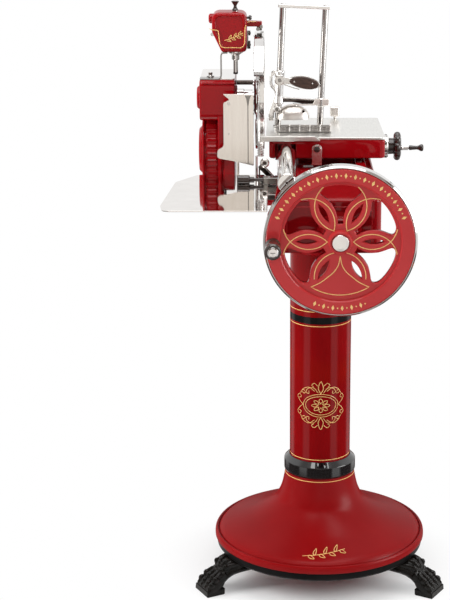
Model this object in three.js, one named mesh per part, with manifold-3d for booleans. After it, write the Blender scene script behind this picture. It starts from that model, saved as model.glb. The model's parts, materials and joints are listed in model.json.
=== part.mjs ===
// Hand crank meat slicer on a cast pedestal with three lion paw feet.
// Millimetres, +Z up. The flywheel faces -Y, where the operator stands; the blade turns about X on the left,
// the carriage slides along Y on a round rail, and the meat table feeds along X on top of it.
import * as THREE from 'three';
import { mergeVertices } from 'three/addons/utils/BufferGeometryUtils.js';
import Module from 'manifold-3d';

const wasm = await Module();
wasm.setup();

// Clearances and shares that every sub-part uses.
const fit = 0.3;
const overrun = 5;
const degree = Math.PI / 180;
const fullTurn = 2 * Math.PI;
const facesFine = 36;
const facesRound = 24;
const facesMedium = 12;
const facesSmall = 8;
const arcSteps = 2;

// Pedestal, on the column axis.
const column = { radius: 76, wall: 7, top: 849, flange: 12 };
const collar = { radius: 90, bottom: 280, top: 313, bevel: 7 };
const disc = { radius: 267, neck: 86, lip: 98, thickness: 12 };
const trumpetShares = [
  [0, 1], [0.02, 0.88], [0.05, 0.74], [0.09, 0.63], [0.15, 0.53], [0.28, 0.42], [0.47, 0.31], [0.69, 0.22],
  [0.87, 0.16], [0.96, 0.11], [1, 0.06],
];
const ring = { inset: 5, width: 40, top: 97.7, bottom: 77 };
ring.outer = disc.radius - ring.inset;
ring.inner = ring.outer - ring.width;
const foot = { reach: 344, seat: 205, width: 92, height: 77, tilt: 30, rearTurn: 90 };
const footSideShares = [
  [0, 1], [0, 0.62], [0.17, 0.43], [0.29, 0.25], [0.4, 0], [0.96, 0], [1, 0.2], [0.94, 0.44], [0.77, 0.61],
  [0.61, 0.68], [0.5, 0.85], [0.36, 1],
];
const footPlanShares = [
  [-0.04, 0.5], [0.2, 0.48], [0.36, 0.42], [0.5, 0.31], [0.66, 0.31], [0.8, 0.4], [0.94, 0.4], [1.04, 0.21],
];

// Machine base, the hollow casting that carries everything above the column.
const base = {
  left: -108, right: 134, front: -235, rear: 310, bottom: 895, top: 1022, wall: 10, corner: 26, bevel: 6,
  neck: 82, neckBottom: 849, padHalf: 96, boss: 40, bossReach: 20,
};
const saddle = { front: -215, rear: 258, length: 40, halfWidth: 20, top: 1069 };
const track = { width: 24, top: 1037 };
const ledge = { reach: 34, depth: 14, front: -90, rear: 60 };

// Flywheel, its floral web, shaft and crank.
const wheel = {
  x: 36, z: 941, face: -320, radius: 168.5, ringWidth: 40.5, ringDepth: 26, hub: 26, hubFront: -326, hubRear: -262,
  web: 8, webSet: 5, bevel: 3, rimDepth: 7, rimWidth: 38, cap: 20, capDepth: 5,
};
wheel.ringInner = wheel.radius - wheel.ringWidth;
wheel.rimOuter = wheel.radius + wheel.rimDepth;
const flower = {
  orbitShare: 0.5225, openingShare: 0.3205, ribShare: 0.4185, lensShare: 0.297, hubShare: 0.2435, ringShare: 0.7775,
  petals: 6, lowest: 4,
};
const shaft = { radius: 15, rear: 211, bush: 21, bushProud: 2 };
const crank = { inset: 15.5, turn: 182, pin: 6, grip: 19, length: 70, cap: 12.5, capDepth: 5, capShare: 0.8 };
crank.radius = wheel.radius - crank.inset;
const gripShares = [[0, 0.8], [0.08, 1], [0.4, 1], [0.62, 0.76], [0.78, 0.76], [0.92, 0.9], [1, 0.8]];

// Drive from the flywheel shaft to the blade: bevel pair, cross shaft and chain.
const bevelPair = { wheel: 60, pinion: 24, faceShare: 0.34, backShare: 0.7, hubDepth: 16, gap: 0.5 };
const cross = { y: 230, radius: 9, left: -280, right: 8, bore: 13 };
const chain = {
  drive: 42, driven: 21, driveTeeth: 20, drivenTeeth: 10, tooth: 5, width: 8, link: 7, x: -262, gap: 1.2,
};
const toothShares = [[0.25, 0], [0.4, 1], [0.6, 1], [0.75, 0]];

// Blade, spindle and guard.
const blade = {
  x: -157, y: 230, z: 1185, radius: 150, thickness: 3, edge: 26, edgeThickness: 0.6, bore: 14.3,
};
const hub = { radius: 58, depth: 9, rim: 4, screwCircle: 42, screws: 6, screw: 4.5, screwHeight: 3 };
const spindle = { radius: 14, left: -280, right: -155, bush: 22, bushLeft: -226, bushRight: -171 };
const guard = {
  clearance: 6, depth: 10, left: -165, right: -141, from: -62, to: 152, plate: 2.5, plateInner: 70,
  plateFrom: -62, plateTo: 62, rod: 6, rodCircle: 84, rodTurn: 18,
};
guard.inner = blade.radius + guard.clearance;
guard.outer = guard.inner + guard.depth;

// Drive housing: upper box, ribbed round gear case, lower neck and the arm to the machine base.
const housing = {
  left: -301, right: -213, front: 134, rear: 326, bottom: 1120, top: 1241, corner: 20, bevel: 3, wall: 9,
  caseLeft: -296, ribLeft: -291, ribRight: -253, caseRight: -241, caseZ: 1052, caseRadius: 94,
  ribs: 26, ribHeight: 4, neckBottom: 884, neckHalf: 62, neckCorner: 56, neckRight: -214, arm: 36,
  cavityGap: 5,
};
const cover = { upper: 29, lower: 59.5, depth: 10, bevel: 3, holeShare: 0.6 };

// Receiving plate, deflector and its release knob.
const plate = { z: 1003, thickness: 2.5, left: -378, right: -130, front: -280, rear: 133 };
const plateSideShares = [[0.29, 1], [0.08, 0.78], [0, 0.14], [0.02, 0.04], [0.1, 0]];
const deflector = {
  y: 100, thickness: 2.5, left: -241, right: -166, top: 1213, bottom: 1034, stud: 5, studX: -227,
  studZ: 1190,
};
const deflectorSideShares = [
  [1, 1], [0, 1], [0.12, 0.94], [0.06, 0.88], [0, 0.82], [0, 0.27], [-0.05, 0.21], [-0.2, 0.18],
  [-0.23, 0.14],
  [-0.18, 0.1], [0, 0.09], [0.5, 0.04], [1, 0],
];
const release = { y: 24, z: 1015, left: -206, length: 31, radius: 9, neck: 6.8, shaft: 4, lugHalf: 13 };

// Sharpener on top of the drive housing.
const sharpener = {
  left: -269, right: -183, bottom: 1309, height: 97, front: 150, rear: 230, corner: 13, step: 50, foot: -245,
  inset: 9, recess: 2.5, bevel: 2.5, armRise: 20, armHeight: 12, armFront: 204, armWidth: 24, armRight: -146,
  clampWidth: 14, cap: 12, capDepth: 9, capDrop: 18, buttonDrop: 16,
};
sharpener.top = sharpener.bottom + sharpener.height;
sharpener.arm = blade.z + guard.outer + fit + sharpener.armRise;
const plunger = {
  x: -212, radius: 6, tip: 1250, neck: 10, neckLength: 14, flange: 19, flangeDepth: 9, bevel: 2,
};
const topKnob = { height: 24, radius: 10, lift: 1.5 };
const topKnobShares = [[0, 0.8], [0.12, 0.8], [0.42, 0.36], [0.55, 0.36], [0.92, 1], [1, 0.9]];
const stones = {
  grind: 10, deburr: 6, thickness: 8, spindle: 3, depth: 14, carrier: 3, grindZ: 1323, deburrZ: 1352,
  y: 190,
};
const button = { z: sharpener.top - sharpener.buttonDrop, radius: 6, tip: 4.2, length: 8, stem: 3, y: 190 };
const strip = { thickness: 3, width: 34, x: -247, left: -300, right: -214, depth: 76, front: 150, leaf: 15 };
const thumb = { x: -275, y: 188, radius: 6, height: 12, collar: 10, collarHeight: 3, bevel: 2 };

// Rail, carriage, table and feed.
const rail = { x: -85, z: 1066, radius: 22, front: -262, rear: 304, bevel: 2, screw: 5, screwDepth: 2 };
const carriage = {
  left: -128, right: 161, front: 118, rear: 414, bottom: 1049, top: 1095.7, wall: 9, corner: 14, web: 6,
  channelLeft: -113, channelRight: -62, bossFront: 160, bossRear: 250, bossBottom: 1034,
};
const roller = { x: 100, y: 200, radius: 12, width: 12, pin: 4, lug: 5, lugHalf: 12 };
const table = { left: -136, right: 162, front: 118.3, rear: 410, thickness: 6, corner: 12, slant: 19 };
const lip = { left: -151, right: -2, front: 104, bottom: 1088, top: 1107, slant: 12 };
const feed = {
  y: 262, z: 1054, screw: 8, nut: -28, nutWidth: 26, nutBottom: 1043, travel: 150, boss: 16,
  collar: 30, collarLength: 15, neck: 21, neckLength: 14, knob: 37, knobLength: 19, lobes: 8, lobeDepth: 4,
  stub: 6, stubTip: 3.5, stubLength: 19, offset: 24, grip: 9, gripLength: 38, slack: 2,
};
const spinnerShares = [[0, 0.61], [0.3, 0.7], [0.55, 0.61], [0.68, 0.67], [0.82, 1], [0.96, 0.8]];
const spinnerBoreShare = 0.9;
const strap = {
  x: -9, halfWidth: 12.4, bottom: 1033, thickness: 4, boltZ: 1073, bolt: 8, boltTip: 5, boltHeight: 6,
};

// Meat clamp on the table, in its own leaning frame: posts, sliding head, lever and shoe.
const clamp = {
  x: -53, y: 270, lean: 2.5, halfSpan: 54, height: 302, post: 8, foot: 0.7, barHalf: 66, barDepth: 5,
  barHeight: 9,
  sleeve: 13, headBottom: 58, headTop: 144, rightTop: 78, crossBar: 6, crossZ: 68,
  webOut: 24, webIn: 17, webWidth: 12, webBottom: 14,
};
const lever = {
  z: 122, y: -22, pin: 5, length: 96, width: 30, tang: 4, scale: 6, scaleStart: 22, head: 13, neck: 12,
  rivet: 2, proud: 1,
  fullnessShare: 1.9,
};
const shoe = { left: -48, right: 28, z: 18, rise: 20, thickness: 4, halfWidth: 20, stem: 5, stemX: -8 };
const comb = {
  left: -91, right: 28, y: 190, depth: 9, height: 20, slots: 10, slotShare: 0.35, slotDepthShare: 0.7,
};
const stop = { x: 44, y: 394, stem: 4, stemHeight: 6, half: 10, height: 18, bevel: 2 };

const finish = {
  red: { color: 0x9c1220, roughness: 0.18, metalness: 0.1 },
  black: { color: 0x1a1817, roughness: 0.35, metalness: 0.2 },
  iron: { color: 0x242120, roughness: 0.55, metalness: 0.3 },
  chrome: { color: 0xd9d6d2, roughness: 0.08, metalness: 1 },
  steel: { color: 0xb9b5b0, roughness: 0.3, metalness: 1 },
  bronze: { color: 0xa9803f, roughness: 0.4, metalness: 0.9 },
  wood: { color: 0x3a2620, roughness: 0.5, metalness: 0 },
  stone: { color: 0x9a948c, roughness: 0.9, metalness: 0 },
};

const machine = new THREE.Group();
machine.name = 'hand_crank_meat_slicer';

// Mesh clean-up: shared vertices, no empty triangles, faces outward.
function closed(geometry) {
  const bare = geometry.clone();
  bare.deleteAttribute('normal');
  bare.deleteAttribute('uv');
  const merged = mergeVertices(bare.index ? bare.toNonIndexed() : bare, overrun * 1e-5);
  const source = merged.index.array;
  const kept = [];
  for (let i = 0; i < source.length; i += 3) {
    const [a, b, c] = [source[i], source[i + 1], source[i + 2]];
    if (a !== b && b !== c && c !== a) kept.push(a, b, c);
  }
  merged.setIndex(kept);
  if (signedVolume(merged) < 0) flip(merged);
  return merged;
}

function signedVolume(geometry) {
  const place = geometry.attributes.position;
  const index = geometry.index.array;
  const [a, b, c] = [new THREE.Vector3(), new THREE.Vector3(), new THREE.Vector3()];
  let sum = 0;
  for (let i = 0; i < index.length; i += 3) {
    a.fromBufferAttribute(place, index[i]);
    b.fromBufferAttribute(place, index[i + 1]);
    c.fromBufferAttribute(place, index[i + 2]);
    sum += a.dot(b.cross(c));
  }
  return sum;
}

function flip(geometry) {
  const index = geometry.index.array;
  for (let i = 0; i < index.length; i += 3) [index[i + 1], index[i + 2]] = [index[i + 2], index[i + 1]];
}

function toSolid(geometry) {
  const clean = closed(geometry);
  const mesh = new wasm.Mesh({
    numProp: 3,
    vertProperties: Float32Array.from(clean.attributes.position.array),
    triVerts: Uint32Array.from(clean.index.array),
  });
  return new wasm.Manifold(mesh);
}

function fromSolid(solid) {
  const mesh = solid.getMesh();
  const geometry = new THREE.BufferGeometry();
  geometry.setAttribute('position', new THREE.BufferAttribute(Float32Array.from(mesh.vertProperties), 3));
  geometry.setIndex(Array.from(mesh.triVerts));
  return geometry;
}

function join(...pieces) {
  return fromSolid(pieces.map(toSolid).reduce((sum, piece) => sum.add(piece)));
}

function cut(body, ...tools) {
  return fromSolid(tools.map(toSolid).reduce((rest, tool) => rest.subtract(tool), toSolid(body)));
}

function common(body, tool) {
  return fromSolid(toSolid(body).intersect(toSolid(tool)));
}

function add(parent, name, geometry, look) {
  const shape = closed(geometry);
  shape.computeVertexNormals();
  const mesh = new THREE.Mesh(shape, new THREE.MeshStandardMaterial(look));
  mesh.name = name;
  parent.add(mesh);
  return mesh;
}

// Simple forms given by their limits along each axis.
function block(x0, x1, y0, y1, z0, z1) {
  const form = new THREE.BoxGeometry(x1 - x0, y1 - y0, z1 - z0);
  return form.translate((x0 + x1) / 2, (y0 + y1) / 2, (z0 + z1) / 2);
}

function rodX(radius, x0, x1, y, z, faces = facesMedium) {
  const form = new THREE.CylinderGeometry(radius, radius, Math.abs(x1 - x0), faces);
  return form.rotateZ(Math.PI / 2).translate((x0 + x1) / 2, y, z);
}

function rodY(radius, y0, y1, x, z, faces = facesMedium) {
  const form = new THREE.CylinderGeometry(radius, radius, Math.abs(y1 - y0), faces);
  return form.translate(x, (y0 + y1) / 2, z);
}

function rodZ(radius, z0, z1, x, y, faces = facesMedium) {
  const form = new THREE.CylinderGeometry(radius, radius, Math.abs(z1 - z0), faces);
  return form.rotateX(Math.PI / 2).translate(x, y, (z0 + z1) / 2);
}

// Bores are rods whose flats, not corners, lie at the given radius.
function around(radius, faces) {
  return radius / Math.cos(Math.PI / faces);
}

function boreX(radius, x0, x1, y, z, faces = facesMedium) {
  return rodX(around(radius, faces), x0, x1, y, z, faces);
}

function boreY(radius, y0, y1, x, z, faces = facesMedium) {
  return rodY(around(radius, faces), y0, y1, x, z, faces);
}

function boreZ(radius, z0, z1, x, y, faces = facesMedium) {
  return rodZ(around(radius, faces), z0, z1, x, y, faces);
}

// Revolved profiles: pairs of radius and place along the axis, closed on the axis or on themselves.
function turned(profile, faces) {
  return new THREE.LatheGeometry(profile.map(([r, h]) => new THREE.Vector2(r, h)), faces);
}

function turnedZ(profile, x, y, faces = facesMedium) {
  return turned(profile, faces).rotateX(Math.PI / 2).translate(x, y, 0);
}

function turnedX(profile, y, z, faces = facesMedium) {
  return turned(profile, faces).rotateZ(-Math.PI / 2).translate(0, y, z);
}

function turnedY(profile, x, z, faces = facesMedium) {
  return turned(profile, faces).translate(x, 0, z);
}

// Outlines drawn in a vertical plane and given thickness. In the front plane, shape x and y are X and Z;
// in the side plane they are Y and Z; in the flat plane they are X and Y.
function frontPlate(shape, y0, y1, options = {}) {
  const form = new THREE.ExtrudeGeometry(shape, { depth: y1 - y0, bevelEnabled: false, ...options });
  return form.rotateX(Math.PI / 2).translate(0, y1, 0);
}

function sidePlate(shape, x0, x1, options = {}) {
  const form = new THREE.ExtrudeGeometry(shape, { depth: x1 - x0, bevelEnabled: false, ...options });
  return form.rotateZ(Math.PI / 2).rotateY(Math.PI / 2).translate(x0, 0, 0);
}

function flatPlate(shape, z0, z1, options = {}) {
  const form = new THREE.ExtrudeGeometry(shape, { depth: z1 - z0, bevelEnabled: false, ...options });
  return form.translate(0, 0, z0);
}

function roundedRect(x0, x1, y0, y1, radius) {
  const shape = new THREE.Shape();
  shape.absarc(x1 - radius, y0 + radius, radius, -Math.PI / 2, 0);
  shape.absarc(x1 - radius, y1 - radius, radius, 0, Math.PI / 2);
  shape.absarc(x0 + radius, y1 - radius, radius, Math.PI / 2, Math.PI);
  shape.absarc(x0 + radius, y0 + radius, radius, Math.PI, 1.5 * Math.PI);
  return shape;
}

function polygon(points) {
  return new THREE.Shape(points.map(([x, y]) => new THREE.Vector2(x, y)));
}

// Pedestal: a trumpet shaped disc, the black ring below it, three paw feet, collar and column.
function baseDisc() {
  const { radius, neck, lip, thickness } = disc;
  const top = collar.bottom;
  const bore = column.radius - column.wall;
  const outer = trumpetShares.map(([across, up]) => [
    neck + across * (radius - neck), lip + up * (top - lip),
  ]);
  const inner = outer.slice(1, -2).filter((point, i) => i % 2 === 0)
    .map(([r, z]) => [r - thickness, z - thickness]).reverse();
  return turnedZ([
    [radius - thickness, lip], [radius, lip], ...outer.reverse(), [bore, top], [bore, inner.at(-1)[1]],
    ...inner.reverse(), [radius - thickness, lip],
  ], 0, 0, facesRound);
}

function baseRing() {
  const bead = (ring.top - ring.bottom) / 4;
  return turnedZ([
    [ring.inner, ring.bottom], [ring.outer - bead, ring.bottom], [ring.outer, ring.bottom + bead],
    [ring.outer, ring.top - bead], [ring.outer - bead, ring.top], [ring.inner, ring.top],
    [ring.inner, ring.bottom],
  ], 0, 0, facesRound);
}

// A paw foot: haunch under the ring, knee, falling leg and a broad toe block, drawn from the side and
// crossed with its plan so that it tapers towards the ring.
function pawFoot() {
  const { reach, seat, height, width } = foot;
  const along = (share) => seat + share * (reach - seat);
  const side = polygon(footSideShares.map(([out, up]) => [along(out), up * height]));
  const near = footPlanShares.map(([out, half]) => [along(out), -half * width]);
  const far = footPlanShares.map(([out, half]) => [along(out), half * width]);
  const plan = polygon([...near, ...far.reverse()]);
  return common(frontPlate(side, -width, width), flatPlate(plan, -overrun, height + overrun));
}

function lowerCollar() {
  const bore = column.radius + fit;
  const { radius, bottom, top, bevel } = collar;
  return turnedZ([
    [bore, bottom], [radius - bevel / 2, bottom], [radius, bottom + bevel], [radius, top - 2 * bevel],
    [radius - bevel, top - bevel], [bore + bevel / 2, top], [bore, top], [bore, bottom],
  ], 0, 0, facesRound);
}

function columnTube() {
  const { radius, wall, top, flange } = column;
  const bore = radius - wall;
  const mouth = bore - 2 * flange;
  return turnedZ([
    [bore, collar.bottom], [radius, collar.bottom], [radius, top], [mouth, top],
    [mouth, top - flange], [bore, top - 3 * flange], [bore, collar.bottom],
  ], 0, 0, facesRound);
}

function addPedestal() {
  add(machine, 'base_disc', baseDisc(), finish.red);
  add(machine, 'base_ring', baseRing(), finish.iron);
  const places = {
    foot_front_left: 2 * foot.rearTurn + foot.tilt, foot_front_right: -foot.tilt, foot_rear: foot.rearTurn,
  };
  for (const [name, angle] of Object.entries(places)) {
    const paw = add(machine, name, pawFoot(), finish.iron);
    paw.rotation.z = angle * degree;
  }
  add(machine, 'lower_collar', lowerCollar(), finish.black);
  add(machine, 'column', columnTube(), finish.red);
}

// Machine base: open underneath on both sides of the pad that stands on the column.
function machineBase() {
  const {
    left, right, front, rear, bottom, top, wall, corner, bevel, neck, neckBottom, padHalf, boss, bossReach,
  } = base;
  const outline = roundedRect(left + bevel, right - bevel, front + bevel, rear - bevel, corner - bevel);
  const rounded = {
    bevelEnabled: true, bevelThickness: bevel, bevelSize: bevel, bevelSegments: 1, curveSegments: 4,
  };
  const outer = flatPlate(outline, bottom + bevel, top - bevel, rounded);
  const inner = block(left + wall, right - wall, front + wall, rear - wall, bottom - overrun, top - wall);
  const pad = block(left + wall, right - wall, -padHalf, padHalf, bottom, bottom + wall);
  const collarNeck = rodZ(neck, neckBottom, bottom + wall, 0, 0, facesRound);
  const trackLine = block(
    roller.x - track.width / 2, roller.x + track.width / 2, front + corner, rear - corner, top - bevel,
    track.top,
  );
  const saddles = [saddle.front, saddle.rear].map((start) => block(
    rail.x - saddle.halfWidth, rail.x + saddle.halfWidth, start, start + saddle.length, top - bevel,
    saddle.top,
  ));
  const shaftBoss = rodY(boss, front - bossReach, front + wall, wheel.x, wheel.z);
  const plateLedge = block(
    left - ledge.reach, left + bevel, ledge.front, ledge.rear, plate.z - ledge.depth - fit, plate.z - fit,
  );
  const releaseLug = block(
    left - ledge.reach, left + bevel, release.y - release.lugHalf, release.y + release.lugHalf,
    plate.z + plate.thickness + fit, top,
  );
  const body = join(
    cut(outer, inner), pad, collarNeck, trackLine, ...saddles, shaftBoss, plateLedge, releaseLug,
  );
  return cut(
    body,
    boreY(rail.radius + fit, rail.front, rail.rear + overrun, rail.x, rail.z),
    boreY(
      shaft.bush + fit, front - bossReach - overrun, front + wall + overrun, wheel.x, wheel.z, facesRound,
    ),
    boreX(cross.bore, left - overrun, left + wall + overrun, cross.y, wheel.z),
    boreX(release.shaft + fit, left - ledge.reach - overrun, left - bevel, release.y, release.z),
  );
}

function flowerSizes() {
  const { orbitShare, openingShare, ribShare, lensShare, hubShare, ringShare } = flower;
  return {
    orbit: orbitShare * wheel.radius, opening: openingShare * wheel.radius, rib: ribShare * wheel.radius,
    lens: lensShare * wheel.radius, hubClear: hubShare * wheel.radius, ringClear: ringShare * wheel.radius,
  };
}

// The floral web: five round openings and six lens shaped ones between circles set round the hub,
// with the lowest sector left solid as a fan.
function webOpening(turn) {
  const { orbit, opening, rib, hubClear, ringClear } = flowerSizes();
  const neighbour = new THREE.Vector2(orbit, 0).rotateAround(new THREE.Vector2(), Math.PI / 3);
  const ringHalf = Math.acos((ringClear ** 2 + orbit ** 2 - opening ** 2) / (2 * ringClear * orbit));
  const ringPoint = new THREE.Vector2(ringClear, 0).rotateAround(new THREE.Vector2(), ringHalf);
  const along = (orbit ** 2 + opening ** 2 - rib ** 2) / (2 * orbit);
  const aside = Math.sqrt(opening ** 2 - along ** 2);
  const toNeighbour = neighbour.clone().sub(new THREE.Vector2(orbit, 0)).normalize();
  const ribPoint = new THREE.Vector2(orbit, 0).addScaledVector(toNeighbour, along)
    .add(new THREE.Vector2(toNeighbour.y, -toNeighbour.x).multiplyScalar(aside));
  const hubAlong = (orbit ** 2 + hubClear ** 2 - rib ** 2) / (2 * orbit);
  const hubAside = Math.sqrt(hubClear ** 2 - hubAlong ** 2);
  const hubPoint = new THREE.Vector2(hubAlong, -hubAside).rotateAround(new THREE.Vector2(), Math.PI / 3);
  const angle = (point, cx, cy) => Math.atan2(point.y - cy, point.x - cx);
  const shape = new THREE.Path();
  shape.absarc(0, 0, ringClear, -ringHalf, ringHalf);
  shape.absarc(orbit, 0, opening, angle(ringPoint, orbit, 0), angle(ribPoint, orbit, 0));
  const { x, y } = neighbour;
  shape.absarc(x, y, rib, angle(ribPoint, x, y), angle(hubPoint, x, y) - fullTurn, true);
  shape.absarc(0, 0, hubClear, angle(hubPoint, 0, 0), -angle(hubPoint, 0, 0), true);
  shape.absarc(x, -y, rib, fullTurn - angle(hubPoint, x, y), -angle(ribPoint, x, y), true);
  shape.absarc(orbit, 0, opening, -angle(ribPoint, orbit, 0), -angle(ringPoint, orbit, 0));
  return turnedPath(shape, turn);
}

function lensOpening(turn) {
  const { orbit, lens } = flowerSizes();
  const half = Math.acos((orbit / 2) / lens);
  const across = orbit * Math.cos(Math.PI / 6);
  const shape = new THREE.Path();
  shape.absarc(across, -orbit / 2, lens, Math.PI / 2 - half, Math.PI / 2 + half);
  shape.absarc(across, orbit / 2, lens, -Math.PI / 2 - half, -Math.PI / 2 + half);
  return turnedPath(shape, turn);
}

function turnedPath(path, turn) {
  const centre = new THREE.Vector2();
  const points = path.getPoints(arcSteps).map((point) => point.clone().rotateAround(centre, turn));
  const distinct = points.filter((point, i) => i === 0 || point.distanceTo(points[i - 1]) > fit);
  if (distinct[0].distanceTo(distinct.at(-1)) < fit) distinct.pop();
  return new THREE.Path(distinct);
}

function flywheelWeb() {
  const { web, webSet, bevel, face } = wheel;
  const shape = new THREE.Shape();
  shape.absarc(0, 0, wheel.ringInner + 4 * bevel, 0, fullTurn);
  for (let i = 0; i < flower.petals; i++) {
    const turn = i * fullTurn / flower.petals;
    if (i !== flower.lowest) shape.holes.push(webOpening(turn + Math.PI / 6));
    shape.holes.push(lensOpening(turn));
  }
  const eased = {
    bevelEnabled: true, bevelThickness: bevel, bevelSize: bevel, bevelOffset: -bevel, bevelSegments: 1,
    curveSegments: 10,
  };
  return frontPlate(shape, face + webSet + bevel, face + webSet + bevel + web, eased);
}

function flywheel() {
  const { face, radius, ringInner, ringDepth, hubFront, hubRear, bevel } = wheel;
  const flange = turnedY([
    [ringInner, face + bevel], [ringInner + bevel, face], [radius, face], [radius, face + ringDepth],
    [ringInner, face + ringDepth], [ringInner, face + bevel],
  ], 0, 0, facesFine);
  const boss = turnedY([
    [0, hubFront], [wheel.hub - bevel, hubFront], [wheel.hub, hubFront + bevel], [wheel.hub, hubRear],
    [0, hubRear],
  ], 0, 0, facesMedium);
  const pinX = crank.radius * Math.cos(crank.turn * degree);
  const pinZ = crank.radius * Math.sin(crank.turn * degree);
  return cut(
    join(flange, flywheelWeb(), boss),
    boreY(shaft.radius + fit, hubFront + wheel.capDepth, hubRear + overrun, 0, 0),
    boreY(crank.pin + fit, face - overrun, face + ringDepth + overrun, pinX, pinZ, facesSmall),
    boreY(wheel.cap + fit, hubFront - overrun, hubFront + wheel.capDepth, 0, 0),
  );
}

function flywheelRim() {
  const { radius, rimOuter, rimWidth, face, bevel } = wheel;
  const start = face + bevel / 2;
  return turnedY([
    [radius + fit, start], [rimOuter - bevel, start], [rimOuter, start + bevel],
    [rimOuter, start + rimWidth - bevel],
    [rimOuter - bevel, start + rimWidth], [radius + fit, start + rimWidth], [radius + fit, start],
  ], 0, 0, facesFine);
}

function crankGrip() {
  const { pin, grip, length } = crank;
  const start = wheel.face - fit - length;
  const outline = gripShares.map(([along, across]) => [across * grip, start + along * length]);
  return turnedY([
    [pin + fit, start], ...outline, [pin + fit, start + length], [pin + fit, start],
  ], 0, 0, facesMedium);
}

function addFlywheel() {
  const group = new THREE.Group();
  group.position.set(wheel.x, 0, wheel.z);
  machine.add(group);
  add(group, 'flywheel', flywheel(), finish.red);
  add(group, 'flywheel_rim', flywheelRim(), finish.chrome);
  const capStart = wheel.hubFront - fit;
  const dome = wheel.capDepth / 2;
  add(group, 'flywheel_shaft', turnedY([
    [0, capStart - dome], [wheel.cap - dome, capStart - dome], [wheel.cap, capStart],
    [wheel.cap, capStart + wheel.capDepth], [shaft.radius, capStart + wheel.capDepth],
    [shaft.radius, shaft.rear],
    [0, shaft.rear],
  ], 0, 0), finish.chrome);
  const bushFront = base.front - base.bossReach - shaft.bushProud;
  add(group, 'shaft_bush', turnedY([
    [shaft.radius + fit, bushFront], [shaft.bush, bushFront], [shaft.bush, base.front + base.wall],
    [shaft.radius + fit, base.front + base.wall], [shaft.radius + fit, bushFront],
  ], 0, 0, facesRound), finish.bronze);
  const arm = new THREE.Group();
  const turn = crank.turn * degree;
  arm.position.set(crank.radius * Math.cos(turn), 0, crank.radius * Math.sin(turn));
  group.add(arm);
  const gripEnd = wheel.face - fit - crank.length;
  add(arm, 'crank_pin', turnedY([
    [0, gripEnd - fit - crank.capDepth], [crank.capShare * crank.cap, gripEnd - fit - crank.capDepth],
    [crank.cap, gripEnd - fit - crank.capDepth / 2], [crank.cap, gripEnd - fit], [crank.pin, gripEnd - fit],
    [crank.pin, wheel.face + wheel.ringDepth], [0, wheel.face + wheel.ringDepth],
  ], 0, 0), finish.chrome);
  add(arm, 'crank_grip', crankGrip(), finish.black);
}

// Bevel pair: the pitch cones share one tip, where the flywheel shaft and the cross shaft would meet.
function bevelCone(radius, partner, bore) {
  const { faceShare, backShare, hubDepth, gap } = bevelPair;
  const narrow = 1 - faceShare;
  return [
    [bore, -partner - hubDepth], [radius * backShare, -partner - hubDepth], [radius, -partner - gap],
    [radius * narrow, -partner * narrow - gap], [bore, -partner * narrow - gap], [bore, -partner - hubDepth],
  ];
}

function toothedDisc(radius, teeth, tooth, x0, x1) {
  const points = [];
  for (let i = 0; i < teeth; i++) {
    for (const [around, rise] of toothShares) {
      const angle = (i + around) * fullTurn / teeth;
      const r = radius - tooth + rise * tooth;
      points.push([r * Math.cos(angle), r * Math.sin(angle)]);
    }
  }
  return sidePlate(polygon(points), x0, x1);
}

// A closed belt line round two wheels, one above the other, as a path in the side plane.
function loopOutline(Outline, y, low, lowRadius, high, highRadius) {
  const lean = Math.asin((lowRadius - highRadius) / (high - low));
  const path = new Outline();
  path.absarc(y, high, highRadius, lean, Math.PI - lean);
  path.absarc(y, low, lowRadius, Math.PI - lean, fullTurn + lean);
  path.closePath();
  return path;
}

function driveChain() {
  const { drive, driven, gap, link, width, x } = chain;
  const shape = loopOutline(THREE.Shape, cross.y, wheel.z, drive + gap + link, blade.z, driven + gap + link);
  shape.holes.push(loopOutline(THREE.Path, cross.y, wheel.z, drive + gap, blade.z, driven + gap));
  return sidePlate(shape, x - width / 2, x + width / 2, { curveSegments: 8 });
}

function addDrive() {
  const { x, width, drive, driven, driveTeeth, drivenTeeth, tooth } = chain;
  const apex = new THREE.Group();
  apex.position.set(wheel.x, cross.y, wheel.z);
  machine.add(apex);
  add(apex, 'bevel_wheel', turnedY(
    bevelCone(bevelPair.wheel, bevelPair.pinion, shaft.radius + fit), 0, 0, facesRound,
  ), finish.steel);
  add(apex, 'bevel_pinion', turnedX(
    bevelCone(bevelPair.pinion, bevelPair.wheel, cross.radius + fit), 0, 0,
  ), finish.steel);
  add(machine, 'cross_shaft', rodX(
    cross.radius, cross.left, wheel.x - cross.right, cross.y, wheel.z,
  ), finish.steel);
  const sprocket = (radius, teeth, bore, z) => cut(
    toothedDisc(radius, teeth, tooth, x - width / 2, x + width / 2).translate(0, cross.y, z),
    boreX(bore, x - width, x + width, cross.y, z),
  );
  add(machine, 'drive_sprocket', sprocket(drive, driveTeeth, cross.radius + fit, wheel.z), finish.steel);
  add(machine, 'blade_sprocket', sprocket(driven, drivenTeeth, spindle.radius + fit, blade.z), finish.steel);
  add(machine, 'drive_chain', driveChain(), finish.iron);
}

// Blade: flat towards the carriage, ground to an edge from the other side.
function bladeDisc() {
  const { x, y, z, radius, thickness, edge, edgeThickness, bore } = blade;
  const face = x + thickness;
  return turnedX([
    [bore, x], [radius - edge, x], [radius, face - edgeThickness], [radius, face], [bore, face], [bore, x],
  ], y, z, facesFine);
}

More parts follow.
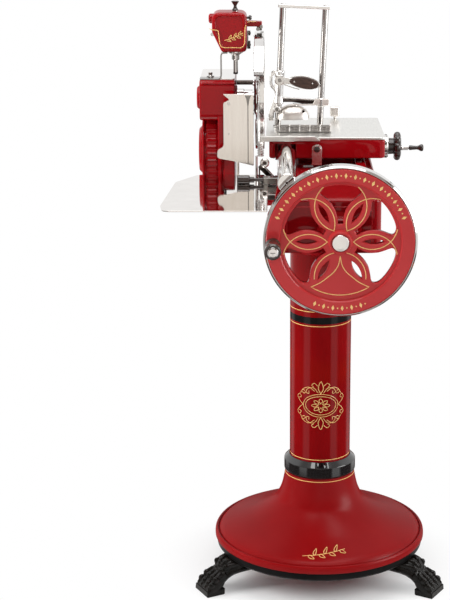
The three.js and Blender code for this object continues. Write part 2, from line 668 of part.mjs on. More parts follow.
function bladeHub() {
  const { radius, depth, rim, screws, screw, screwCircle, screwHeight } = hub;
  const face = blade.x - fit;
  const disc = turnedX([
    [spindle.radius + fit, face - depth], [radius - 2 * rim, face - depth], [radius, face - rim],
    [radius, face],
    [spindle.radius + fit, face], [spindle.radius + fit, face - depth],
  ], blade.y, blade.z, facesMedium);
  const heads = Array.from({ length: screws }, (_, i) => {
    const angle = i * fullTurn / screws;
    const y = blade.y + screwCircle * Math.cos(angle);
    const z = blade.z + screwCircle * Math.sin(angle);
    return rodX(screw, face - depth - screwHeight, face - rim, y, z, facesSmall);
  });
  return join(disc, ...heads);
}

// Guard: a rim that follows the blade over its top and rear, with a side plate and two rods to the housing.
function sector(inner, outer, from, to) {
  const shape = new THREE.Shape();
  shape.absarc(0, 0, outer, from * degree, to * degree);
  shape.absarc(0, 0, inner, to * degree, from * degree, true);
  shape.closePath();
  return shape;
}

function bladeGuard() {
  const { inner, outer, left, right, from, to, plate: side, plateInner, plateFrom, plateTo } = guard;
  const curved = { curveSegments: 9 };
  const rim = sidePlate(sector(inner, outer, from, to), left, right, curved);
  const cheek = sidePlate(sector(plateInner, outer, plateFrom, plateTo), left, left + side, curved);
  const rods = [-guard.rodTurn, guard.rodTurn].map((turn) => rodX(
    guard.rod, housing.right + fit, left + side / 2,
    guard.rodCircle * Math.cos(turn * degree), guard.rodCircle * Math.sin(turn * degree), facesSmall,
  ));
  return join(rim, cheek, ...rods).translate(0, blade.y, blade.z);
}

function addBlade() {
  add(machine, 'blade_spindle', rodX(
    spindle.radius, spindle.left, spindle.right, blade.y, blade.z,
  ), finish.steel);
  add(machine, 'spindle_bush', turnedX([
    [spindle.radius + fit, spindle.bushLeft], [spindle.bush, spindle.bushLeft],
    [spindle.bush, spindle.bushRight],
    [spindle.radius + fit, spindle.bushRight], [spindle.radius + fit, spindle.bushLeft],
  ], blade.y, blade.z, facesRound), finish.chrome);
  add(machine, 'blade', bladeDisc(), finish.steel);
  add(machine, 'blade_hub', bladeHub(), finish.chrome);
  add(machine, 'blade_guard', bladeGuard(), finish.chrome);
}

// Drive housing. The gear case has round ribs across its rim, like a pie crust.
function ribbedCase() {
  const { caseRadius, ribs, ribHeight, caseZ, ribLeft, ribRight } = housing;
  const shape = new THREE.Shape();
  const steps = 2;
  for (let i = 0; i < ribs * steps; i++) {
    const angle = i * fullTurn / (ribs * steps);
    const rise = ribHeight * Math.abs(Math.cos(ribs * angle / 2));
    const r = caseRadius - ribHeight / 2 + rise;
    shape[i ? 'lineTo' : 'moveTo'](cross.y + r * Math.cos(angle), caseZ + r * Math.sin(angle));
  }
  return sidePlate(shape, ribLeft, ribRight);
}

function driveHousing() {
  const { left, right, front, rear, bottom, top, corner, bevel, wall, caseLeft, caseRight, caseZ } = housing;
  const y = cross.y;
  const soft = {
    bevelEnabled: true, bevelThickness: bevel, bevelSize: bevel, bevelOffset: -bevel, bevelSegments: 1,
    curveSegments: 4,
  };
  const upper = sidePlate(roundedRect(front, rear, bottom, top, corner), left + bevel, right - bevel, soft);
  const drum = rodX(housing.caseRadius - housing.ribHeight, caseLeft, caseRight, y, caseZ, facesRound);
  const neckShape = roundedRect(
    y - housing.neckHalf, y + housing.neckHalf, housing.neckBottom, caseZ, housing.neckCorner,
  );
  const neck = sidePlate(neckShape, caseLeft + wall / 2, housing.neckRight);
  const arm = rodX(housing.arm, housing.neckRight - wall, base.left - fit, y, wheel.z, facesMedium);
  const inner = loopOutline(
    THREE.Shape, y, wheel.z, chain.drive + chain.gap + chain.link + housing.cavityGap,
    blade.z, chain.driven + chain.gap + chain.link + housing.cavityGap,
  );
  const cavity = sidePlate(inner, left + 2 * wall, housing.neckRight - wall);
  const body = join(upper, drum, ribbedCase(), neck, arm);
  return cut(
    body, cavity,
    boreX(cover.upper * cover.holeShare, left - overrun, chain.x, blade.y, blade.z),
    boreX(cover.lower * cover.holeShare, left - overrun, chain.x, y, caseZ),
    boreX(spindle.bush + fit, chain.x, right + overrun, blade.y, blade.z, facesRound),
    boreX(cross.radius + fit, chain.x, base.left + overrun, y, wheel.z),
  );
}

function roundCover(radius, face, z) {
  const { depth, bevel } = cover;
  return turnedX([
    [0, face - depth], [radius - 2 * bevel, face - depth], [radius, face - depth + bevel], [radius, face],
    [0, face],
  ], cross.y, z, facesRound);
}

function addHousing() {
  add(machine, 'drive_housing', driveHousing(), finish.red);
  add(machine, 'upper_cover', roundCover(cover.upper, housing.left, blade.z), finish.red);
  add(machine, 'lower_cover', roundCover(cover.lower, housing.caseLeft, housing.caseZ), finish.red);
}

// Receiving plate: a thin tray in front of the housing, its left side drawn in towards the rear.
function receivingPlate() {
  const { z, thickness, left, right, front, rear } = plate;
  const side = plateSideShares.map(([across, back]) => [
    left + across * (right - left), front + back * (rear - fit - front),
  ]);
  return flatPlate(polygon([[right, front], [right, rear - fit], ...side]), z, z + thickness);
}

function deflectorPlate() {
  const { y, thickness, left, right, top, bottom, stud, studX, studZ } = deflector;
  const points = deflectorSideShares.map(([across, up]) => [
    left + across * (right - left), bottom + up * (top - bottom),
  ]);
  const sheet = frontPlate(polygon(points), y, y + thickness);
  const peg = rodY(stud, y + thickness / 2, housing.front - fit, studX, studZ, facesSmall);
  return join(sheet, peg);
}

function releaseKnob() {
  const { y, z, left, length, radius, neck, shaft: stem } = release;
  const right = left + length;
  const end = base.left - base.bevel - fit;
  return turnedX([
    [0, left], [radius - stem / 2, left], [radius, left + stem / 2], [radius, right - radius],
    [neck, right - radius],
    [neck, right], [stem, right], [stem, end], [0, end],
  ], y, z);
}

function addReceiving() {
  add(machine, 'receiving_plate', receivingPlate(), finish.chrome);
  add(machine, 'deflector', deflectorPlate(), finish.chrome);
  add(machine, 'release_knob', releaseKnob(), finish.black);
}

// Sharpener: a soft edged case whose lower left side falls away, with an arm to the blade guard.
function sharpenerShape(inset) {
  const { left, right, bottom, top, corner, step, foot: toe } = sharpener;
  const [x0, x1, z0, z1] = [left + inset, right - inset, bottom + inset, top - inset];
  const shape = new THREE.Shape();
  shape.moveTo(toe + inset, z0);
  shape.lineTo(x1 - corner / 2, z0);
  shape.quadraticCurveTo(x1, z0, x1, z0 + corner / 2);
  shape.lineTo(x1, z1 - corner);
  shape.absarc(x1 - corner, z1 - corner, corner, 0, Math.PI / 2);
  shape.absarc(x0 + corner, z1 - corner, corner, Math.PI / 2, Math.PI);
  shape.lineTo(x0, bottom + step);
  shape.closePath();
  return shape;
}

function sharpenerCase() {
  const {
    front, rear, top, bevel, inset, recess, left, right, arm, armHeight, armFront, armWidth, armRight,
  } = sharpener;
  const soft = {
    bevelEnabled: true, bevelThickness: bevel, bevelSize: bevel, bevelOffset: -bevel, bevelSegments: 1,
    curveSegments: 4,
  };
  const box = frontPlate(sharpenerShape(0), front + bevel, rear - bevel, soft);
  const panel = frontPlate(sharpenerShape(inset), front - overrun, front + recess, { curveSegments: 4 });
  const beam = block(
    right - bevel, armRight, armFront, armFront + armWidth, arm - armHeight / 2, arm + armHeight / 2,
  );
  const clampBlock = block(
    armRight - sharpener.clampWidth, armRight, armFront, armFront + armWidth, blade.z + guard.outer + fit,
    arm,
  );
  const cap = rodX(
    sharpener.cap, left - sharpener.capDepth, left + bevel, (front + rear) / 2, top - sharpener.capDrop,
  );
  return cut(
    join(cut(box, panel), beam, clampBlock, cap),
    boreZ(plunger.radius + fit, sharpener.bottom - overrun, top + overrun, plunger.x, stones.y, facesSmall),
    boreX(stones.spindle + fit, right - stones.depth, right + overrun, stones.y, stones.grindZ, facesSmall),
    boreX(stones.spindle + fit, right - stones.depth, right + overrun, stones.y, stones.deburrZ, facesSmall),
    boreX(button.stem + fit, right - stones.depth, right + overrun, button.y, button.z, facesSmall),
  );
}

function smallStone(radius, z) {
  const { thickness, spindle: pin, depth } = stones;
  const start = sharpener.right;
  return turnedX([
    [0, start - depth + fit], [pin, start - depth + fit], [pin, start + fit], [radius, start + fit],
    [radius, start + fit + thickness], [0, start + fit + thickness],
  ], stones.y, z, facesMedium);
}

function stoneCarrier() {
  const { carrier, y, grindZ, deburrZ, spindle: pin } = stones;
  const start = sharpener.right + fit;
  return block(start, start + carrier, y - 2 * pin, y + 2 * pin, grindZ - 2 * pin, deburrZ + 2 * pin);
}

function pushButton() {
  const { radius, tip, length, stem, y, z } = button;
  const start = sharpener.right;
  const travelGap = length / 2;
  return turnedX([
    [0, start - travelGap], [stem, start - travelGap], [stem, start + travelGap], [radius, start + travelGap],
    [radius, start + travelGap + length / 2], [tip, start + travelGap + length],
    [0, start + travelGap + length],
  ], y, z, facesSmall);
}

function topKnobForm() {
  const { height, radius, lift } = topKnob;
  const start = sharpener.top + lift;
  const outline = topKnobShares.map(([up, across]) => [across * radius, start + up * height]);
  return turnedZ([[0, start], ...outline, [0, start + height]], plunger.x, stones.y, facesMedium);
}

function plungerGuide() {
  const { x, radius, neck, neckLength, flange, flangeDepth, bevel } = plunger;
  const top = sharpener.bottom - fit;
  return turnedZ([
    [radius + fit, top - flangeDepth - neckLength], [neck, top - flangeDepth - neckLength],
    [neck, top - flangeDepth],
    [flange - bevel, top - flangeDepth], [flange, top - flangeDepth / 2], [flange, top], [radius + fit, top],
    [radius + fit, top - flangeDepth - neckLength],
  ], x, stones.y);
}

function sharpenerBracket() {
  const { thickness, width, x, left, right, depth, front, leaf } = strip;
  const floor = housing.top;
  const top = sharpener.bottom - fit;
  const footPlate = block(left, right, front, front + depth, floor, floor + thickness);
  const riser = block(x - thickness / 2, x + thickness / 2, front, front + width, floor + thickness / 2, top);
  const leafPlate = block(x - thickness / 2, x + leaf, front, front + width, top - thickness, top);
  return cut(
    join(footPlate, riser, leafPlate),
    boreZ(plunger.flange + fit, top - 2 * thickness, top + overrun, plunger.x, stones.y),
  );
}

function thumbScrew() {
  const { x, y, radius, height, collar: ringRadius, collarHeight, bevel } = thumb;
  const start = housing.top + strip.thickness;
  return turnedZ([
    [0, start], [ringRadius, start], [ringRadius, start + collarHeight], [radius, start + collarHeight],
    [radius, start + height - bevel], [radius - bevel, start + height], [0, start + height],
  ], x, y, facesSmall);
}

function addSharpener() {
  add(machine, 'sharpener_case', sharpenerCase(), finish.red);
  add(machine, 'sharpener_bracket', sharpenerBracket(), finish.chrome);
  add(machine, 'bracket_thumb_screw', thumbScrew(), finish.chrome);
  add(machine, 'plunger_guide', plungerGuide(), finish.chrome);
  add(machine, 'plunger', rodZ(
    plunger.radius, plunger.tip, sharpener.top + topKnob.lift - fit, plunger.x, stones.y, facesSmall,
  ), finish.chrome);
  add(machine, 'top_knob', topKnobForm(), finish.black);
  add(machine, 'sharpening_stones', join(
    smallStone(stones.grind, stones.grindZ), smallStone(stones.deburr, stones.deburrZ), stoneCarrier(),
  ), finish.stone);
  add(machine, 'side_button', pushButton(), finish.black);
}

// Rail and carriage. The carriage is an open bottomed casting with a channel for the rail on its left.
function guideRail() {
  const { x, z, radius, front, rear, bevel, screw, screwDepth } = rail;
  const bar = turnedY([
    [0, front], [radius - bevel, front], [radius, front + bevel], [radius, rear - bevel],
    [radius - bevel, rear],
    [0, rear],
  ], x, z, facesRound);
  return cut(bar, turnedY([
    [0, front - overrun], [screw, front - overrun], [screw, front + screwDepth], [0, front + screwDepth],
  ], x, z, facesSmall));
}

function carriageBody() {
  const { left, right, front, rear, bottom, top, wall, corner, web, channelLeft, channelRight } = carriage;
  const deck = top - web;
  const below = carriage.bossBottom - overrun;
  const outer = flatPlate(roundedRect(left, right, front, rear, corner), bottom, top, { curveSegments: 4 });
  const channel = block(channelLeft, channelRight, front - overrun, rear + overrun, below, deck);
  const pocket = block(channelRight + wall, right - wall, front + wall, rear - wall, below, deck);
  const shell = cut(outer, channel, pocket);
  const bearing = block(
    channelLeft - wall / 2, channelRight + wall / 2, carriage.bossFront, carriage.bossRear,
    carriage.bossBottom,
    deck + web / 2,
  );
  const lugs = [-1, 1].map((side) => {
    const inner = roller.x + side * (roller.width / 2 + fit);
    const outerSide = inner + side * roller.lug;
    return block(
      Math.min(inner, outerSide), Math.max(inner, outerSide),
      roller.y - roller.lugHalf, roller.y + roller.lugHalf,
      rollerZ() - 2 * roller.pin, deck + web / 2,
    );
  });
  const screwBosses = [[channelRight + wall / 2, channelRight + 2 * wall], [right - 2 * wall, right]].map(
    ([x0, x1]) => join(
      rodX(feed.boss, x0, x1, feed.y, feed.z),
      block(x0, x1, feed.y - feed.boss, feed.y + feed.boss, feed.z, deck + web / 2),
    ),
  );
  const slotHalf = feed.nutWidth / 2 + feed.slack;
  return cut(
    join(shell, bearing, ...lugs, ...screwBosses),
    boreY(
      rail.radius + fit, carriage.bossFront - overrun, carriage.bossRear + overrun, rail.x, rail.z,
      facesRound,
    ),
    boreX(
      roller.pin + fit, roller.x - 3 * roller.width, roller.x + 3 * roller.width, roller.y,
      rollerZ(), facesSmall,
    ),
    boreX(feed.screw + fit, channelRight + wall, right + overrun, feed.y, feed.z, facesMedium),
    block(
      feed.nut - slotHalf, feed.nut + feed.travel + slotHalf, feed.y - slotHalf, feed.y + slotHalf,
      deck - overrun, top + overrun,
    ),
  );
}

function rollerZ() {
  return track.top + fit + roller.radius;
}

function carriageRoller() {
  const { x, radius, width, pin, lug } = roller;
  const end = width / 2 + lug + fit;
  return turnedX([
    [0, x - end], [pin, x - end], [pin, x - width / 2], [radius, x - width / 2], [radius, x + width / 2],
    [pin, x + width / 2], [pin, x + end], [0, x + end],
  ], roller.y, rollerZ());
}

function carriageLip() {
  const { left, right, front, bottom, top, slant } = lip;
  return frontPlate(polygon([
    [left + slant, bottom], [right, bottom], [right, (bottom + top) / 2], [right - slant, top], [left, top],
    [left, bottom + slant],
  ]), front, carriage.front - fit);
}

function strapBracket() {
  const { x, halfWidth, bottom, thickness, boltZ } = strap;
  const shape = new THREE.Shape();
  shape.moveTo(x - halfWidth, bottom);
  shape.lineTo(x + halfWidth, bottom);
  shape.absarc(x, boltZ, halfWidth, 0, Math.PI);
  shape.closePath();
  return frontPlate(shape, carriage.front - fit - thickness, carriage.front - fit);
}

function strapBolt() {
  const { x, thickness, boltZ, bolt, boltTip, boltHeight } = strap;
  const seat = carriage.front - 2 * fit - thickness;
  return turnedY([
    [0, seat - boltHeight], [boltTip, seat - boltHeight], [bolt, seat - boltHeight / 2], [bolt, seat],
    [0, seat],
  ], x, boltZ, facesMedium);
}

function addCarriage() {
  add(machine, 'guide_rail', guideRail(), finish.chrome);
  add(machine, 'carriage_body', carriageBody(), finish.red);
  add(machine, 'carriage_roller', carriageRoller(), finish.steel);
  add(machine, 'carriage_lip', carriageLip(), finish.chrome);
  add(machine, 'strap_bracket', strapBracket(), finish.steel);
  add(machine, 'strap_bolt', strapBolt(), finish.black);
}

// Meat table with the feed nut under it, feed screw, index collar, lobed knob and spinner grip.
function meatTable() {
  const { left, right, front, rear, thickness, corner, slant } = table;
  const shape = new THREE.Shape();
  shape.moveTo(left, front);
  shape.lineTo(right - corner, front);
  shape.quadraticCurveTo(right, front, right - slant * corner / (rear - front), front + corner);
  shape.lineTo(right - slant, rear);
  shape.lineTo(left, rear);
  shape.closePath();
  const sheet = flatPlate(shape, carriage.top + fit, carriage.top + fit + thickness, { curveSegments: 4 });
  const half = feed.nutWidth / 2;
  const nut = block(
    feed.nut - half, feed.nut + half, feed.y - half, feed.y + half, feed.nutBottom, carriage.top + 2 * fit,
  );
  const thread = boreX(feed.screw + fit, feed.nut - 2 * half, feed.nut + 2 * half, feed.y, feed.z);
  return cut(join(sheet, nut), thread);
}

function handKnob() {
  const { knob, knobLength, lobes, lobeDepth, neck, neckLength } = feed;
  const start = carriage.right + fit + feed.collarLength + fit;
  const shape = new THREE.Shape();
  const steps = 4;
  for (let i = 0; i < lobes * steps; i++) {
    const angle = i * fullTurn / (lobes * steps);
    const r = knob - lobeDepth + lobeDepth * Math.abs(Math.cos(lobes * angle / 2));
    shape[i ? 'lineTo' : 'moveTo'](feed.y + r * Math.cos(angle), feed.z + r * Math.sin(angle));
  }
  const lobed = sidePlate(shape, start + neckLength, start + neckLength + knobLength);
  return cut(
    join(lobed, rodX(neck, start, start + neckLength + overrun, feed.y, feed.z)),
    boreX(feed.screw + fit, start - overrun, start + neckLength + knobLength / 2, feed.y, feed.z),
    boreX(
      feed.stub + fit, start + neckLength + knobLength / 2, start + 3 * knobLength, feed.y - feed.offset,
      feed.z,
      facesSmall,
    ),
  );
}

function feedScrew() {
  const start = carriage.right + 2 * fit + feed.collarLength;
  return rodX(
    feed.screw, carriage.channelRight + carriage.wall + fit,
    start + feed.neckLength + feed.knobLength / 2 - fit,
    feed.y, feed.z,
  );
}

function spinnerGrip(start) {
  const { grip, gripLength, stubTip } = feed;
  const outline = spinnerShares.map(([along, across]) => [across * grip, start + along * gripLength]);
  const boreEnd = start + spinnerBoreShare * gripLength;
  return turnedX([
    [stubTip + fit, start], ...outline, [0, start + gripLength], [0, boreEnd], [stubTip + fit, boreEnd],
    [stubTip + fit, start],
  ], feed.y - feed.offset, feed.z, facesMedium);
}

function gripStub(seat, start) {
  const { stub, stubTip, gripLength } = feed;
  const end = start + spinnerBoreShare * gripLength - overrun * fit;
  return turnedX([
    [0, seat], [stub, seat], [stub, start - stub], [stubTip, start - fit], [stubTip, end], [0, end],
  ], feed.y - feed.offset, feed.z, facesMedium);
}

function addTable() {
  const knobStart = carriage.right + 2 * fit + feed.collarLength + feed.neckLength;
  const gripStart = knobStart + feed.knobLength + feed.stubLength;
  add(machine, 'meat_table', meatTable(), finish.chrome);
  add(machine, 'feed_screw', feedScrew(), finish.steel);
  const collarStart = carriage.right + fit;
  add(machine, 'index_collar', turnedX([
    [feed.screw + fit, collarStart], [feed.collar, collarStart],
    [feed.collar, collarStart + feed.collarLength],
    [feed.screw + fit, collarStart + feed.collarLength], [feed.screw + fit, collarStart],
  ], feed.y, feed.z, facesRound), finish.chrome);
  add(machine, 'hand_knob', handKnob(), finish.black);
  add(machine, 'grip_stub', gripStub(knobStart + feed.knobLength / 2 + fit, gripStart), finish.chrome);
  add(machine, 'spinner_grip', spinnerGrip(gripStart), finish.black);
}

// Meat clamp: everything stands in a frame that leans to the right.
function clampHead() {
  const { halfSpan, post, sleeve, headBottom, headTop, rightTop, crossBar, crossZ } = clamp;
  const { webOut, webIn, webWidth, webBottom } = clamp;
  const left = rodZ(sleeve, headBottom, headTop, -halfSpan, 0);
  const right = rodZ(sleeve, headBottom, rightTop, halfSpan, 0);
  const bridge = rodX(crossBar, -halfSpan, halfSpan, 0, crossZ, facesSmall);
  const side = new THREE.Shape();
  side.moveTo(-halfSpan, headTop);
  side.quadraticCurveTo(-halfSpan - webOut, headTop, -halfSpan - webOut, headTop - webOut);
  side.lineTo(-halfSpan - webIn, crossZ);
  side.lineTo(-halfSpan - webOut, webBottom);
  side.lineTo(-halfSpan - webOut / 2, webBottom);
  side.lineTo(-halfSpan, headBottom);
  side.closePath();
  const webPlate = frontPlate(side, -webWidth / 2, webWidth / 2, { curveSegments: 5 });
  const boss = rodY(lever.head, lever.y + lever.tang + lever.scale + fit, 0, -halfSpan, lever.z);
  return cut(
    join(left, right, bridge, webPlate, boss),
    boreZ(post + fit, webBottom - overrun, headTop + overrun, -halfSpan, 0),
    boreZ(post + fit, headBottom - overrun, rightTop + overrun, halfSpan, 0),
    boreY(lever.pin + fit, lever.y - overrun, -post - 2 * fit, -halfSpan, lever.z, facesSmall),
  );
}

function lensShape(start, end, half) {
  const shape = new THREE.Shape();
  const middle = (start + end) / 2;
  shape.moveTo(start, 0);
  shape.quadraticCurveTo(middle, -lever.fullnessShare * half, end, 0);
  shape.quadraticCurveTo(middle, lever.fullnessShare * half, start, 0);
  return shape;
}

function clampLever() {
  const { length, width, tang, head, scaleStart, proud } = lever;
  const outline = lensShape(scaleStart - tang, length, width / 2 + proud);
  const blank = frontPlate(outline, -tang / 2, tang / 2, { curveSegments: 8 });
  const neck = block(0, scaleStart + head, -tang / 2, tang / 2, -lever.neck / 2, lever.neck / 2);
  const pivotDisc = rodY(head, -tang / 2, tang / 2, 0, 0);
  const pin = rodY(lever.pin, -tang / 2 - lever.scale, -lever.y - clamp.post - 3 * fit, 0, 0, facesSmall);
  const holes = rivetPlaces().map((x) => boreY(lever.rivet + fit, -tang, tang, x, 0, facesSmall));
  return cut(join(blank, neck, pivotDisc, pin), ...holes);
}

function rivetPlaces() {
  const { scaleStart, length } = lever;
  return [1, 2, 3].map((step) => scaleStart + step * (length - scaleStart) / 4);
}

// The two halves of the handle, held together by rivets through the lever.
function leverScales() {
  const { tang, scale, scaleStart, length, width, rivet } = lever;
  const inner = tang / 2 + fit;
  const halves = [-inner - scale, inner].map((start) => frontPlate(
    lensShape(scaleStart, length - tang / 2, width / 2), start, start + scale, { curveSegments: 8 },
  ));
  const rivets = rivetPlaces().map((x) => rodY(
    rivet, -inner - scale / 2, inner + scale / 2, x, 0, facesSmall,
  ));
  return join(...halves, ...rivets);
}

function clampShoe() {
  const { left, right, z, rise, thickness, halfWidth, stem, stemX } = shoe;
  const middle = (left + right) / 2;
  const shape = new THREE.Shape();
  shape.moveTo(left, z);
  shape.quadraticCurveTo(middle, z + 2 * rise, right, z);
  shape.lineTo(right, z + thickness);
  shape.quadraticCurveTo(middle, z + 2 * rise + thickness, left, z + thickness);
  shape.closePath();
  const dome = frontPlate(shape, -halfWidth, halfWidth, { curveSegments: 10 });
  const post = rodZ(stem, z + rise, clamp.crossZ - clamp.crossBar - fit, stemX, 0, facesSmall);
  const clear = boreZ(clamp.post + 2 * fit, z - overrun, z + 2 * rise, -clamp.halfSpan, 0);
  return cut(join(dome, post), clear);
}

function clampComb() {
  const { left, right, y, depth, height, slots, slotShare, slotDepthShare } = comb;
  const floor = tableTop() + fit;
  const pitch = (right - left) / slots;
  const shape = new THREE.Shape();
  shape.moveTo(left, floor);
  shape.lineTo(right, floor);
  shape.lineTo(right, floor + height);
  for (let i = slots - 1; i >= 0; i--) {
    const middle = left + (i + 0.5) * pitch;
    const half = slotShare * pitch / 2;
    const low = floor + height * (1 - slotDepthShare);
    shape.lineTo(middle + half, floor + height);
    shape.lineTo(middle + half, low);
    shape.lineTo(middle - half, low);
    shape.lineTo(middle - half, floor + height);
  }
  shape.lineTo(left, floor + height);
  shape.closePath();
  return frontPlate(shape, y, y + depth);
}

function tableTop() {
  return carriage.top + fit + table.thickness;
}

function stopKnob() {
  const { x, y, stem, stemHeight, half, height, bevel } = stop;
  const top = tableTop();
  const rounded = {
    bevelEnabled: true, bevelThickness: bevel, bevelSize: bevel, bevelOffset: -bevel, bevelSegments: 1,
    curveSegments: 3,
  };
  const square = roundedRect(x - half, x + half, y - half, y + half, half / 2);
  const head = flatPlate(square, top + stemHeight + bevel, top + stemHeight + height - bevel, rounded);
  return join(head, rodZ(stem, top, top + stemHeight + bevel, x, y, facesSmall));
}

function addClamp() {
  const frame = new THREE.Group();
  frame.position.set(clamp.x, clamp.y, tableTop());
  frame.rotation.y = clamp.lean * degree;
  machine.add(frame);
  const { halfSpan, height, post, foot: gap, barHalf, barDepth, barHeight } = clamp;
  const standing = (x) => rodZ(post, x * Math.tan(clamp.lean * degree) + gap, height, x, 0);
  add(frame, 'left_post', standing(-halfSpan), finish.chrome);
  add(frame, 'right_post', standing(halfSpan), finish.chrome);
  add(frame, 'clamp_top_bar', block(
    -barHalf, barHalf, -barDepth - post / 2, barDepth + post / 2, height + fit, height + fit + barHeight,
  ), finish.chrome);
  add(frame, 'clamp_head', clampHead(), finish.chrome);
  add(frame, 'clamp_shoe', clampShoe(), finish.chrome);
  const pivot = new THREE.Group();
  pivot.position.set(-halfSpan, lever.y, lever.z);
  frame.add(pivot);
  add(pivot, 'clamp_lever', clampLever(), finish.steel);
  add(pivot, 'lever_scales', leverScales(), finish.wood);
  add(machine, 'clamp_comb', clampComb(), finish.steel);
  add(machine, 'stop_knob', stopKnob(), finish.chrome);
}

addPedestal();
add(machine, 'machine_base', machineBase(), finish.red);
addFlywheel();
addDrive();
addBlade();
addHousing();
addReceiving();
addSharpener();
addCarriage();
addTable();
addClamp();

// The origin is the middle of the standing machine's box, on the floor.
const bounds = new THREE.Box3().setFromObject(machine, true);
const middle = bounds.getCenter(new THREE.Vector3());
machine.position.set(-middle.x, -middle.y, 0);
machine.updateMatrixWorld(true);

export default machine;
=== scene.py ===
# A hand cranked meat slicer on its cast pedestal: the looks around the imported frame.
import json
import math
from types import SimpleNamespace

import bmesh
import bpy
from mathutils import Matrix, Vector


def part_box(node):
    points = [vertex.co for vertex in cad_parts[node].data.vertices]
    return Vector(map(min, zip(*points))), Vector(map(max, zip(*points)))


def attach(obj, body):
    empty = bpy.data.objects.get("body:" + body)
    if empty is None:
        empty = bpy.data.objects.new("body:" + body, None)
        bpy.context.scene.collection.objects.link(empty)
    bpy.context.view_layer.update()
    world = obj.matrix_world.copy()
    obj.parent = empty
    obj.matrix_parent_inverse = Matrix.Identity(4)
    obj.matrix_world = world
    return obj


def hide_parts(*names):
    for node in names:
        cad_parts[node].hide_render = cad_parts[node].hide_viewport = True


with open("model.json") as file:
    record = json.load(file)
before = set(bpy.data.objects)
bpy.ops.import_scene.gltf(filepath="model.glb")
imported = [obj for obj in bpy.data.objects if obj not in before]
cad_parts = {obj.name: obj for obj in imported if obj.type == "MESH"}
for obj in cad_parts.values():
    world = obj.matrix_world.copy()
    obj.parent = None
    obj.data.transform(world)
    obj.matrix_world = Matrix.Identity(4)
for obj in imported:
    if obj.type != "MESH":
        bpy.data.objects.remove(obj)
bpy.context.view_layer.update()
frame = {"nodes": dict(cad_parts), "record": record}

MM = 0.001
TURN = 2 * math.pi
COLUMN_LOW, COLUMN_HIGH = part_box("column")
# The column's axis on the floor: every size below is in millimetres from there.
ORIGIN = Vector(((COLUMN_LOW[0] + COLUMN_HIGH[0]) / 2, (COLUMN_LOW[1] + COLUMN_HIGH[1]) / 2, 0))
BODY_OF = {node: body for body, nodes in frame["record"]["behaviour"]["bodies"].items() for node in nodes}
SLOT_OF = {part["node"]: part["material_slot"] for part in frame["record"]["subparts"]}


def place(x, y, z):
    return ORIGIN + Vector((x, y, z)) * MM


def span(node):
    """A CAD node's limits, middle and half sizes, in millimetres from the column's axis."""
    low, high = ((Vector(corner) - ORIGIN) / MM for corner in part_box(node))
    sizes = {}
    for axis, start, end, middle in zip("xyz", low, high, (low + high) / 2):
        sizes |= {axis + "0": start, axis + "1": end, axis: middle, "h" + axis: (end - start) / 2}
    return SimpleNamespace(**sizes)


# Materials


def feed(tree, node, sockets):
    """Gives each socket of a node its value, or a link from another node's output."""
    for key, value in dict(sockets).items():
        socket = node.inputs[key]
        if isinstance(value, bpy.types.NodeSocket):
            tree.links.new(value, socket)
        else:
            socket.default_value = (*value, 1) if socket.type == "RGBA" else value


def add_node(tree, kind, sockets=(), **settings):
    node = tree.nodes.new("ShaderNode" + kind)
    for key, value in settings.items():
        setattr(node, key, value)
    feed(tree, node, sockets)
    return node


def find(tree, kind):
    return next(node for node in tree.nodes if node.type == kind)


def calc(tree, operation, *values):
    return add_node(tree, "Math", enumerate(values), operation=operation).outputs[0]


def blend(tree, factor, first, second):
    return add_node(tree, "Mix", {"Factor": factor, "A": first, "B": second}, data_type="RGBA").outputs["Result"]


def parts(tree, vector):
    return add_node(tree, "SeparateXYZ", {"Vector": vector}).outputs


def ramp(tree, source, stops):
    node = add_node(tree, "ValToRGB", {"Fac": source})
    elements = node.color_ramp.elements
    while len(elements) < len(stops):
        elements.new(0.5)
    for element, (at, colour) in zip(elements, stops):
        element.position, element.color = at, (*colour, 1)
    return node.outputs["Color"]


def varied(name, dark, light, metallic, rough, scale, relief=0.0, stretch=(1, 1, 1), coat=0.0, shine=0.5, haze=0.05):
    """A material whose colour, roughness and relief follow one noise."""
    material = bpy.data.materials.new(name)
    material.use_nodes = True
    tree = material.node_tree
    spot = add_node(tree, "TexCoord").outputs["Object"]
    spot = add_node(tree, "Mapping", {"Vector": spot, "Scale": stretch}).outputs["Vector"]
    texture = add_node(tree, "TexNoise", {"Vector": spot, "Scale": scale, "Detail": 3}).outputs["Fac"]
    spread = add_node(tree, "MapRange", {"Value": texture, "To Min": rough[0], "To Max": rough[1]})
    sockets = {
        "Metallic": metallic, "Specular IOR Level": shine, "Roughness": spread.outputs["Result"],
        "Base Color": ramp(tree, texture, [(0.3, dark), (0.7, light)]),
    }
    if relief:
        raised = add_node(tree, "Bump", {"Strength": 0.5, "Distance": relief, "Height": texture})
        sockets["Normal"] = raised.outputs["Normal"]
    if coat:
        sockets |= {"Coat Weight": coat, "Coat Roughness": haze}
    feed(tree, find(tree, "BSDF_PRINCIPLED"), sockets)
    return material


def enamel(name, tones, haze=0.05, coat=0.5):
    return varied(name, *tones, 0, (0.2, 0.3), 9, coat=coat, shine=0, haze=haze)


def banded(name, tones, bands, axis="Z", haze=0.05, coat=0.5):
    """Red enamel with bands of colour across one axis: lines of paint, and painted shade. Each band is (low, high,
    colour) in millimetres.
    """
    material = enamel(name, tones, haze, coat)
    tree = material.node_tree
    shader = find(tree, "BSDF_PRINCIPLED")
    colour = shader.inputs["Base Color"].links[0].from_socket
    along = parts(tree, add_node(tree, "TexCoord").outputs["Object"])[axis]
    for low, high, paint_and_shade in bands:
        inside = calc(tree, "COMPARE", along, (low + high) / 2 * MM, (high - low) / 2 * MM)
        colour = blend(tree, inside, colour, paint_and_shade)
    feed(tree, shader, {"Base Color": colour})
    return material


